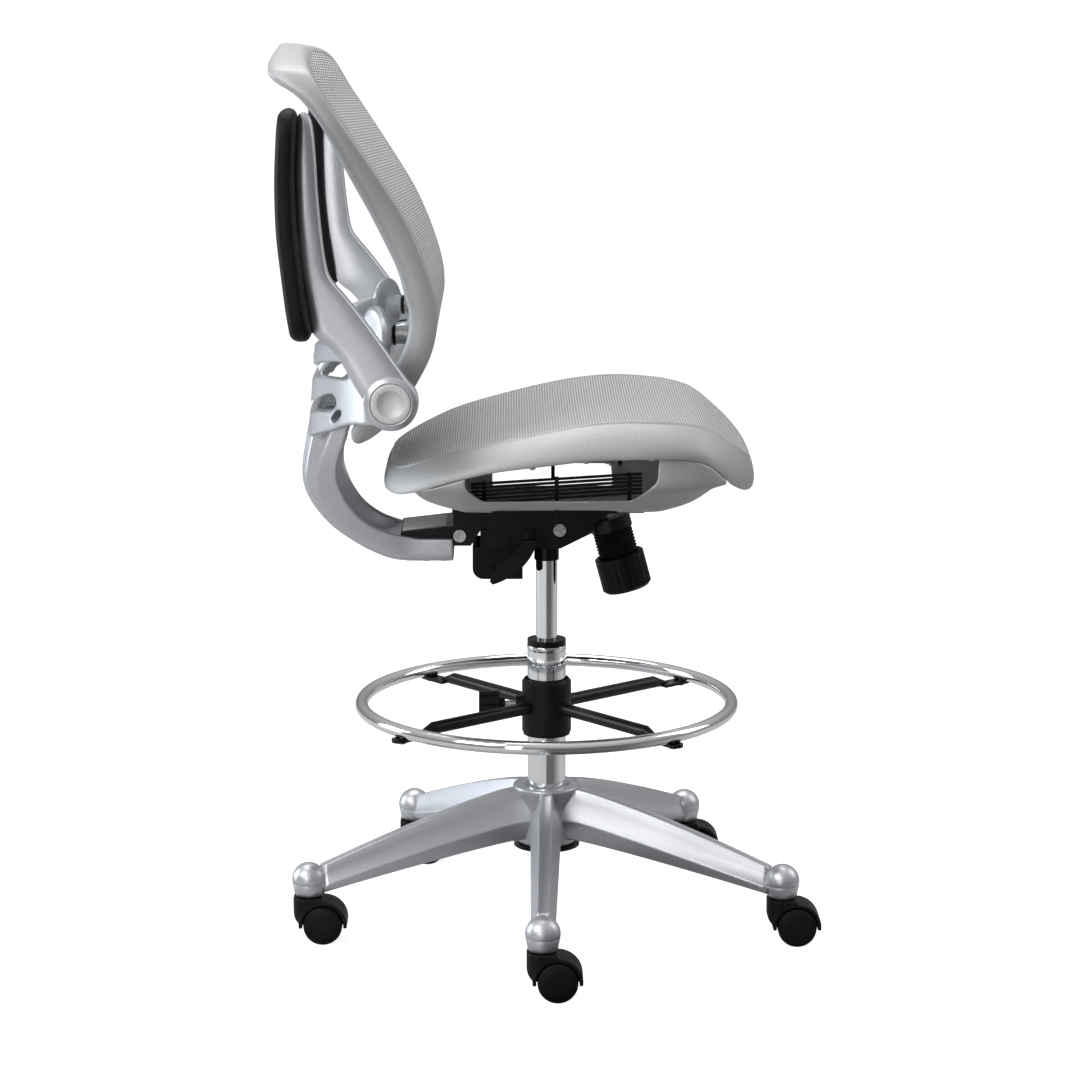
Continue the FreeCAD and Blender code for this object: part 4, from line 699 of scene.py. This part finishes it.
pivot_x, pivot_z = (cap_low.x + cap_high.x) / 2, (cap_low.z + cap_high.z) / 2


def bar_section(front, rear, crown):
    """A ring across the bar: a flat inner face, rounded edges, a rear chamfer, a crowned outer face."""
    along = rear - front
    wide, thick = along.length, bar_outer - bar_inner
    along = along / max(wide, 1e-6)
    e = min(0.004, wide / 3.2)
    corners = [
        (0, e), (e * 0.3, e * 0.3), (e, 0), (wide - e, 0), (wide - e * 0.3, e * 0.3), (wide, e),
        (wide, thick - e * 1.5), (wide - e * 0.15, thick - e * 1.1), (wide - e * 0.9, thick - e * 0.25),
        (wide - e * 1.2, thick - e * 0.05), (wide * 0.7, thick + crown * 0.6),
        (wide * 0.5, thick + crown), (wide * 0.32, thick + crown * 0.7), (e * 1.1, thick),
        (e * 0.75, thick - e * 0.1), (e * 0.2, thick - e * 0.45), (0, thick - e)]
    return [front + along * a + Vector((0, bar_inner + y, 0)) for a, y in corners]


def arm_bar():
    """The cast arm: a bar that broadens at its elbow, and the round boss it pivots on."""
    count = 70
    front = spline([(x, 0, z) for x, z in bar_front], count)
    rear = spline([(x, 0, z) for x, z in bar_rear], count)
    rings = []
    for k, (f, r) in enumerate(zip(front, rear)):
        crown = 0.0016 * max(0.0, 1 - k / (count * 0.62)) + 0.0004
        rings.append(bar_section(f, r, crown))
    bar = loft("arm_bar", rings)
    thick = bar_outer - bar_inner
    profile = [
        (0, 0), (0.0318, 0), (0.0328, 0.001), (0.0328, thick - 0.0012), (0.0322, thick - 0.0002),
        (0.0312, thick + 0.0006), (0.027, thick + 0.0034), (0.0258, thick + 0.0038),
        (0.0248, thick + 0.0038), (0.0244, thick + 0.0032), (0.0243, thick - 0.001), (0, thick - 0.001)]
    boss = lathe("arm_boss", profile, (pivot_x, bar_inner, pivot_z), (0, 1, 0), sides=96)
    return join("arm_left_bar", [bar, boss])


def arm_cap():
    """The round cap over the pivot: a flat rim round a shallow dish."""
    sunk = 0.001
    profile = [
        (0, 0), (0.0238, 0), (0.024, 0.001), (0.024, 0.0046), (0.0234, 0.0054), (0.0224, 0.0057),
        (0.0166, 0.0056), (0.0158, 0.0053), (0.015, 0.0044), (0.0125, 0.0028), (0.009, 0.0015),
        (0.005, 0.0007), (0, 0.0005)]
    return lathe("arm_left_disc", profile, (pivot_x, bar_outer - sunk, pivot_z), (0, 1, 0), sides=96)


def rounded_off(full, r, end):
    """A half size that shrinks along a quarter circle over the last stretch before an end."""
    return full - r + math.sqrt(max(0.0, r ** 2 - max(0.0, r - end) ** 2)) if end < r else full


def arm_pad():
    """The arm pad: a long rounded cushion, domed on top and flat where it lies on the bar."""
    low, high, count, steps = 0.8045, 1.0755, 96, 48
    end_round, edge_round, top_bulge, side_bulge, under_bulge = 0.03, 0.011, 0.34, 0.55, 0.7
    half, centre = (pad_outer - pad_inner) / 2, (pad_outer + pad_inner) / 2
    rings = []
    for k in range(count):
        s = 0.5 - 0.5 * math.cos(math.pi * k / (count - 1))
        z = low + (high - low) * s
        end = min(z - low, high - z)
        front, rear = height_on(pad_front, z), height_on(pad_rear, z)
        middle, thick = (front + rear) / 2, abs(front - rear) / 2
        wide, thin = rounded_off(half, end_round, end), rounded_off(thick, edge_round, end)
        ring = []
        for j in range(steps):
            a = 2 * math.pi * j / steps
            c, d = math.cos(a), math.sin(a)
            bulge = under_bulge if d < 0 else top_bulge
            x = middle + math.copysign(abs(d) ** bulge, d) * thin
            ring.append(Vector((x, centre + math.copysign(abs(c) ** side_bulge, c) * wide, z)))
        rings.append(ring)
    pad = loft("arm_left_cushion", rings)
    modifier(pad, "SMOOTH", factor=0.5, iterations=2)
    return apply_all(pad)


def both_arms():
    """Each piece of the left arm, and its mirror copy on the right."""
    for make, part, slot in ((arm_bar, "beam", "silver_paint"), (arm_cap, "cap", "arm_cap"),
                             (arm_pad, "pad", "pad_black")):
        left = make()
        right = mirror_copy(left, left.name.replace("left", "right"))
        for obj, side in ((left, "left"), (right, "right")):
            dress(obj, f"arm_{side}", slot, f"arm_{side}_{part}")


both_arms()


# ---- base ----
ball_r, ball_at, ball_z = 0.0217, 0.3195, 0.082
arm_start, arm_length, first_arm = 0.045, 0.24, -91.5


def base_arm_section(r):
    """A ring across a base arm: a grooved crest, two facets a side and a narrow underside."""
    t = (r - arm_start) / arm_length
    top = 0.18 - 0.074 * max(t, 0.0) ** 1.22
    low = 0.1135 - 0.044 * max(t, 0.0) ** 1.15
    half = 0.0205 - 0.0052 * t
    crest = 0.0076 - 0.001 * t
    share = 0.62 + 0.14 * max(t, 0.0)
    shoulder = top + (low - top) * share
    foot = half * (0.8 + 0.1 * max(t, 0.0))
    right = [
        (0.0, top - 0.001), (crest * 0.45, top - 0.0009), (crest * 0.8, top - 0.0001),
        (crest * 0.92, top), (crest * 1.05, top - 0.0004), (crest * 1.14, top - 0.0013),
        (half * 0.55, top + (shoulder - top) * 0.36), (half * 0.93, shoulder + (top - shoulder) * 0.1),
        (half * 0.985, shoulder + 0.0022), (half, shoulder), (half * 0.985, shoulder - 0.0022),
        (foot * 1.01, low + 0.0024), (foot * 0.985, low + 0.0008), (foot * 0.93, low),
        (foot * 0.4, low)]
    ring = right + [(-y, z) for y, z in right[:0:-1]]
    return [Vector((r, y, z)) for y, z in ring]


def base_arm(name, angle):
    """One arm of the base with the ball end its caster's stem stands in."""
    rings = [base_arm_section(0.018 + 0.285 * k / 40) for k in range(41)]
    arm = loft(name, rings)
    below = 0.02
    dome = [(ball_r * math.cos(a), below + ball_r * math.sin(a)) for a in
            (math.radians(-9 + 99 * k / 18) for k in range(19))]
    band = [
        (0.0, 0.0), (0.0176, 0.0), (0.0184, 0.0008), (0.0212, 0.0148), (0.0208, 0.0156),
        (0.0209, 0.016)]
    profile = band + dome[:-1] + [(0.0, dome[-1][1])]
    ball = lathe(name + "_ball", profile, (ball_at, 0, ball_z - below), (0, 0, 1), sides=64)
    arm = join(name, [arm, ball])
    arm.data.transform(Matrix.Rotation(math.radians(angle), 4, "Z"))
    return arm


def base_casting():
    """The base in one casting: its waisted hub, open for the column, and five arms."""
    profile = [
        (0.0255, 0.1052), (0.036, 0.1052), (0.0378, 0.1062), (0.0384, 0.1085), (0.035, 0.135),
        (0.0326, 0.148), (0.0325, 0.153), (0.0352, 0.162), (0.0425, 0.1752), (0.0436, 0.178),
        (0.044, 0.18), (0.0437, 0.1818), (0.0426, 0.183), (0.03, 0.183), (0.029, 0.1822),
        (0.0286, 0.1806), (0.0262, 0.18), (0.0255, 0.179)]
    hub = lathe("base_hub", profile, (0, 0, 0), (0, 0, 1), sides=96, caps=False)
    arms = [base_arm(f"base_arm_{k}", first_arm + 72 * k) for k in range(5)]
    return join("base_casting", [hub] + arms)


dress(base_casting(), "base", "silver_paint", "star_base")


# ---- casters ----
def caster_wheel(name, centre, side):
    """One hard wheel: rounded tread, a plain domed face outside and a hollow face inside."""
    profile = [
        (0, 0.0), (0.008, 0.0), (0.009, 0.0015), (0.018, 0.0015), (0.0205, 0.0), (0.0232, 0.0),
        (0.0245, 0.0012), (0.025, 0.0035), (0.025, 0.015), (0.0246, 0.0172), (0.0236, 0.0184),
        (0.0222, 0.019), (0.0215, 0.0189), (0.0208, 0.0193), (0.014, 0.0199), (0.007, 0.0202),
        (0, 0.0203)]
    return lathe(name, profile, centre, (0, side, 0), sides=72)


def caster_pair(k):
    """One caster's two wheels and the axle between them."""
    wheel_width, axle_r, axle_half = 0.019, 0.004, 0.008
    low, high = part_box(f"caster_wheels_{k}")
    middle = (low + high) / 2
    inner = (high.y - low.y) / 2 - wheel_width
    wheels = [caster_wheel(f"wheel_{k}_{side}", middle + Vector((0, side * inner, 0)), side)
              for side in (-1, 1)]
    axle = lathe(f"axle_{k}", [(axle_r, -axle_half), (axle_r, axle_half)], middle, (0, 1, 0), sides=24)
    return join(f"caster_{k}_wheels", wheels + [axle])


for k in range(1, 6):
    dress(caster_pair(k), f"wheels_{k}", "wheel_black", f"caster_wheels_{k}")
    hood = solid_copy(f"caster_{k}_hood", f"caster_hood_{k}")
    hood = softened(hood, voxel=0.0011, rounds=5)
    dress(hood, f"caster_{k}", "black_plastic", f"caster_hood_{k}")


# ---- yoke ----
# The channel that rises from the mechanism: outer edge (x, z), inner edge (x, z) and half width.
spine_lines = [
    (-0.119, 0.489, -0.119, 0.519, 0.056), (-0.14, 0.489, -0.14, 0.519, 0.056),
    (-0.162, 0.489, -0.162, 0.5192, 0.056), (-0.18, 0.4895, -0.176, 0.5215, 0.0565),
    (-0.202, 0.4935, -0.19, 0.5245, 0.058), (-0.228, 0.505, -0.208, 0.5305, 0.06),
    (-0.2515, 0.5195, -0.223, 0.5385, 0.062), (-0.2745, 0.5375, -0.2375, 0.55, 0.065),
    (-0.293, 0.559, -0.2495, 0.5655, 0.069), (-0.3045, 0.58, -0.258, 0.582, 0.074),
    (-0.309, 0.6, -0.2635, 0.6, 0.08), (-0.3085, 0.62, -0.2625, 0.62, 0.085),
    (-0.3055, 0.64, -0.257, 0.638, 0.088), (-0.302, 0.66, -0.251, 0.654, 0.089),
    (-0.299, 0.676, -0.247, 0.672, 0.089)]
# The plate that sweeps round from one arm's pivot to the other, its half from the middle: x, y, bottom
# and top.
shell_lines = [
    (-0.296, 0.0, 0.655, 0.77), (-0.296, 0.035, 0.655, 0.7705), (-0.2955, 0.065, 0.656, 0.772),
    (-0.2935, 0.086, 0.658, 0.7745), (-0.287, 0.108, 0.662, 0.777), (-0.276, 0.136, 0.669, 0.7785),
    (-0.264, 0.165, 0.6765, 0.778), (-0.251, 0.195, 0.6855, 0.773), (-0.237, 0.222, 0.6915, 0.764),
    (-0.223, 0.244, 0.694, 0.758), (-0.208, 0.254, 0.6955, 0.756), (-0.19, 0.257, 0.698, 0.756)]
shell_wall = 0.011
pad_at, pad_turn = Vector((-0.2165, 0.16, 0.793)), math.radians(28)


def smooth_rows(table, count):
    """A table's rows filled in to a given count, each of its columns on a smooth curve."""
    columns = [spline([(k, value, 0) for k, value in enumerate(column)], count)
               for column in zip(*table)]
    return [tuple(p.y for p in points) for points in zip(*columns)]


def rounded_bar(name, stations, round_share=0.45, steps=5):
    """A round-cornered bar through stations: centre, half side vector, half up vector."""
    rings = []
    for centre, side, up in stations:
        r = min(side.length, up.length) * round_share
        a, b = side.normalized(), up.normalized()
        ring = []
        for sa, sb, start in ((1, 1, 0), (-1, 1, 90), (-1, -1, 180), (1, -1, 270)):
            for k in range(steps + 1):
                t = math.radians(start + 90 * k / steps)
                ring.append(centre + a * (sa * (side.length - r) + r * math.cos(t))
                            + b * (sb * (up.length - r) + r * math.sin(t)))
        rings.append(ring)
    return loft(name, rings)


def spine():
    """The C-shaped channel, open towards the front above its foot."""
    rings, wall = [], 0.0095
    for k, (ox, oz, ix, iz, half) in enumerate(smooth_rows(spine_lines, 90)):
        outer, inner = Vector((ox, 0, oz)), Vector((ix, 0, iz))
        open_share = min(1.0, max(0.0, (k - 22) / 14))
        floor = 1.0 - 0.7 * open_share
        r = min(0.009 + 0.023 * max(0.0, (k - 42) / 47), (inner - outer).length * 0.62)
        turn = r / (inner - outer).length
        right = [
            (0.0, half - r), (turn * 0.3, half - r * 0.3), (turn, half), (0.97, half),
            (1.0, half - 0.0012), (1.0, half - wall + 0.0012), (0.97, half - wall),
            (floor * 0.97, half - wall - r * 0.6)]
        section = [(0.0, -half + r)] + right + [(share, -y) for share, y in right[:0:-1]]
        rings.append([outer.lerp(inner, share) + Vector((0, y, 0)) for share, y in section])
    return loft("yoke_spine", rings)


def shell():
    """The swept plate between the arm pivots, with two openings cut through it from side to side."""
    half = smooth_rows(shell_lines, 60)
    line = [(x, -y, low, high) for x, y, low, high in half[:0:-1]] + half
    stations = []
    for k, (x, y, low, high) in enumerate(line):
        before, after = line[max(0, k - 1)], line[min(len(line) - 1, k + 1)]
        run = Vector((after[0] - before[0], after[1] - before[1], 0)).normalized()
        out = Vector((run.y, -run.x, 0))
        if out.x > 0:
            out = -out
        centre = Vector((x, y, (low + high) / 2)) - out * (shell_wall / 2)
        lean = 0.13 * max(0.0, 1 - abs(y) / 0.2)
        stations.append((centre, out * (shell_wall / 2), Vector((lean, 0, 1)) * ((high - low) / 2)))
    plate = rounded_bar("yoke_shell", stations)
    upper = [
        (-0.33, 0.723), (-0.296, 0.728), (-0.282, 0.7355), (-0.256, 0.7415), (-0.245, 0.744),
        (-0.24, 0.75), (-0.24, 0.76), (-0.245, 0.765), (-0.256, 0.7625), (-0.282, 0.754),
        (-0.296, 0.742), (-0.33, 0.735)]
    lower = [
        (-0.33, 0.68), (-0.296, 0.686), (-0.285, 0.6922), (-0.274, 0.6957), (-0.264, 0.6998),
        (-0.2588, 0.708), (-0.2592, 0.716), (-0.264, 0.7205), (-0.274, 0.7165), (-0.285, 0.708),
        (-0.296, 0.699), (-0.33, 0.694)]
    cuts = [prism("yoke_slot", outline, "y", -0.215, 0.215) for outline in (upper, lower)]
    for x, z, tall, wide, tilt in ((-0.2588, 0.695, 0.0112, 0.0042, 33),
                                   (-0.2925, 0.65, 0.0072, 0.0022, 20)):
        slant = math.radians(tilt)
        oval = []
        for k in range(28):
            a, b = tall * math.cos(2 * math.pi * k / 28), wide * math.sin(2 * math.pi * k / 28)
            oval.append((x + a * math.sin(slant) + b * math.cos(slant),
                         z + a * math.cos(slant) - b * math.sin(slant)))
        cuts += [prism("yoke_hole", oval, "y", side * 0.07, side * 0.22) for side in (-1, 1)]
    return cut(plate, cuts)


def prong(side):
    """The strut from the shell's top to the round pad behind the backrest."""
    path = [
        (-0.28, 0.082, 0.747, 0.011, 0.015), (-0.27, 0.096, 0.762, 0.0105, 0.015),
        (-0.253, 0.113, 0.779, 0.01, 0.016), (-0.236, 0.128, 0.787, 0.009, 0.0165),
        (-0.219, 0.137, 0.7905, 0.007, 0.0175)]
    rows = smooth_rows(path, 24)
    stations = []
    for k, (x, y, z, thick, tall) in enumerate(rows):
        before, after = rows[max(0, k - 1)], rows[min(len(rows) - 1, k + 1)]
        run = Vector((after[0] - before[0], after[1] - before[1], after[2] - before[2])).normalized()
        across = Vector((run.y, -run.x, 0)).normalized()
        up = across.cross(run)
        up = up if up.z > 0 else -up
        stations.append((Vector((x, side * y, z)), Vector((across.x, side * across.y, 0)) * thick,
                         Vector((up.x, side * up.y, up.z)) * tall))
    strut = rounded_bar("yoke_strut", stations)
    axis = Vector((math.cos(pad_turn), -side * math.sin(pad_turn), 0))
    place = Vector((pad_at.x, side * pad_at.y, pad_at.z))
    pad = lathe("yoke_pad", [(0, 0.0), (0.0265, 0.0), (0.028, 0.001), (0.0305, 0.0012),
                             (0.032, 0.0022), (0.0332, 0.0044), (0.035, 0.005),
                             (0.0357, 0.0066), (0.0358, 0.0098), (0.0348, 0.0118),
                             (0.032, 0.0128), (0, 0.0128)], place, axis, sides=72)
    neck = lathe("yoke_neck", [(0, 0), (0.015, 0), (0.0135, 0.01), (0.0128, 0.0198),
                               (0.012, 0.0204), (0, 0.0204)],
                 (-0.21, side * pad_at.y, pad_at.z), (1, 0, 0), sides=48)
    hole = lathe("yoke_hole", [(0, -0.01), (0.0066, -0.01), (0.0066, 0.009), (0, 0.009)],
                 place, axis, sides=32)
    return [strut, neck, cut(pad, [hole])]


def yoke():
    """One casting: channel, swept plate, pivot bosses and the two struts that hold the backrest."""
    boss_inner, boss_outer = 0.243, bar_inner - 0.0007
    boss = [
        (0, boss_inner), (0.027, boss_inner), (0.0292, boss_inner + 0.0025), (0.03, boss_inner + 0.006),
        (0.03, boss_outer), (0, boss_outer)]
    pieces = [spine(), shell()]
    for side in (-1, 1):
        pieces += prong(side)
        pieces.append(lathe("yoke_boss", boss, (pivot_x, 0, pivot_z), (0, side, 0), sides=64))
    return softened(join("yoke_casting", pieces), voxel=0.0016, rounds=5)


dress(yoke(), "back", "silver_paint", "yoke")


# ---- smaller pieces ----
def eased(node, width=0.0005):
    """Takes the sharpness off a plain solid's edges."""
    modifier(frame["nodes"][node], "BEVEL", width=width, segments=2, limit_method="ANGLE",
             angle_limit=math.radians(40), harden_normals=True)


def rivets():
    """The domed screw heads along the rim's foot."""
    profile = [
        (0, -0.002), (0.0042, -0.002), (0.0044, 0.0008), (0.0038, 0.002), (0.0022, 0.0029), (0, 0.0032)]
    heads = []
    for x, y in ((-0.105, 0.2175), (-0.02, 0.227), (0.045, 0.227), (0.125, 0.2255)):
        for side in (-1, 1):
            place = (x, side * y, height_on(seat_under, x))
            heads.append(lathe("rivet", profile, place, (0, side * 0.35, -1), sides=28))
    return join("seat_rivets", heads)


def strip():
    """The thin grey strip that lies on the tongue behind the mechanism."""
    rear_x, rear_z, run_x, run_z = -0.184, 0.5272, 0.0565, 0.0052
    half_width, half_thick = Vector((0, 0.04, 0)), Vector((0, 0, 0.0013))
    stations = [(Vector((rear_x + run_x * t, 0, rear_z + run_z * t)), half_width, half_thick)
                for t in (0.0, 0.02, 0.5, 0.98, 1.0)]
    return rounded_bar("strip", stations, round_share=0.6)


def tube_mouth():
    """The bright mouth of the column tube round the lower part of its black bush."""
    low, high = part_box("column_guide_bush")
    tube_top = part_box("column_tube")[1].z
    r = (high.x - low.x) / 2
    profile = [
        (r - 0.001, tube_top - 0.0004), (r + 0.0003, tube_top - 0.0004), (r + 0.0004, high.z - 0.0085),
        (r + 0.0001, high.z - 0.0078), (r - 0.001, high.z - 0.0078)]
    place = ((low.x + high.x) / 2, (low.y + high.y) / 2, 0)
    return lathe("tube_mouth", profile, place, (0, 0, 1), sides=72)


dress(rivets(), "seat", "steel", "seat_screws")
dress(strip(), "back", "grey_strip", "bracket_strip")
dress(tube_mouth(), "base", "chrome")
for node in ("mechanism_housing", "lock_box", "seat_plate", "back_bracket", "lever_paddle",
             "footring_hub", "footring_collet", "base_plate", "tension_knob", "clamp_knob"):
    eased(node)


# ---- floor and light ----
def add_floor():
    """A plain pale floor that looks white; metal sees a darker sector of it, ahead and to the right."""
    half = 30.0
    mesh = bpy.data.meshes.new("floor")
    mesh.from_pydata([(-half, -half, 0), (half, -half, 0), (half, half, 0), (-half, half, 0)], [],
                     [(0, 1, 2, 3)])
    look = Shader("floor", Roughness=0.9, Specular_IOR_Level=0.0, Emission_Color=(1, 1, 1, 1))
    camera_ray = look.node("ShaderNodeLightPath").outputs["Is Camera Ray"]
    look.set("Emission Strength", look.span(camera_ray, 0.0, 1.0, 0.0, 0.85))
    sector = look.node("ShaderNodeTexGradient", gradient_type="RADIAL")
    look.link(look.place, sector.inputs["Vector"])
    tones = ((0.232, 0.46), (0.252, 0.12), (0.36, 0.12), (0.43, 0.3), (0.5, 0.46))
    seen = look.math("MAXIMUM", sector.outputs["Fac"], camera_ray)
    look.set("Base Color", look.ramp(seen, [(at, (grey, grey, grey)) for at, grey in tones]))
    mesh.materials.append(look.material)
    floor = add_object("floor", mesh)


def add_lamp(name, place, target, size, power, colour=(1.0, 1.0, 1.0)):
    """A soft rectangular lamp, aimed at a target; its size is in metres, its power in watts."""
    data = bpy.data.lights.new(name, "AREA")
    data.shape, data.size, data.size_y = "RECTANGLE", size[0], size[1]
    data.energy = power
    data.color = colour
    lamp = add_object(name, data)
    lamp.location = place
    aim = Vector(target) - Vector(place)
    lamp.rotation_euler = aim.to_track_quat("-Z", "Y").to_euler()


def add_light():
    """A white room that is brighter above than at its sides, and five large soft lamps."""
    world = bpy.data.worlds.new("studio")
    room = Nodes(world)
    background = room.tree.nodes["Background"]
    background.inputs["Color"].default_value = (1, 1, 1, 1)
    split = room.node("ShaderNodeSeparateXYZ")
    room.link(room.node("ShaderNodeTexCoord").outputs["Generated"], split.inputs["Vector"])
    bright = room.span(split.outputs["Z"], -0.1, 0.9, 0.16, 0.62)
    camera_ray = room.node("ShaderNodeLightPath").outputs["Is Camera Ray"]
    room.link(room.math("MAXIMUM", camera_ray, bright), background.inputs["Strength"])
    bpy.context.scene.world = world
    add_lamp("key", (-2.2, -2.2, 2.6), (0, 0, 0.6), (1.6, 1.6), 55.0)
    add_lamp("side", (-1.15, -3.3, 1.0), (0, 0, 0.55), (0.5, 2.2), 20.0)
    add_lamp("front", (2.6, 0.4, 1.9), (0, 0, 0.6), (1.2, 2.0), 18.0)
    add_lamp("rear", (-3.0, 0.7, 1.0), (-0.1, 0, 0.7), (1.2, 1.8), 38.0, (0.86, 0.93, 1.0))
    add_lamp("top", (-0.3, 0.6, 3.0), (0, 0, 0.5), (2.0, 2.0), 40.0)


add_floor()
add_light()
bpy.context.scene.view_settings.view_transform = "Standard"
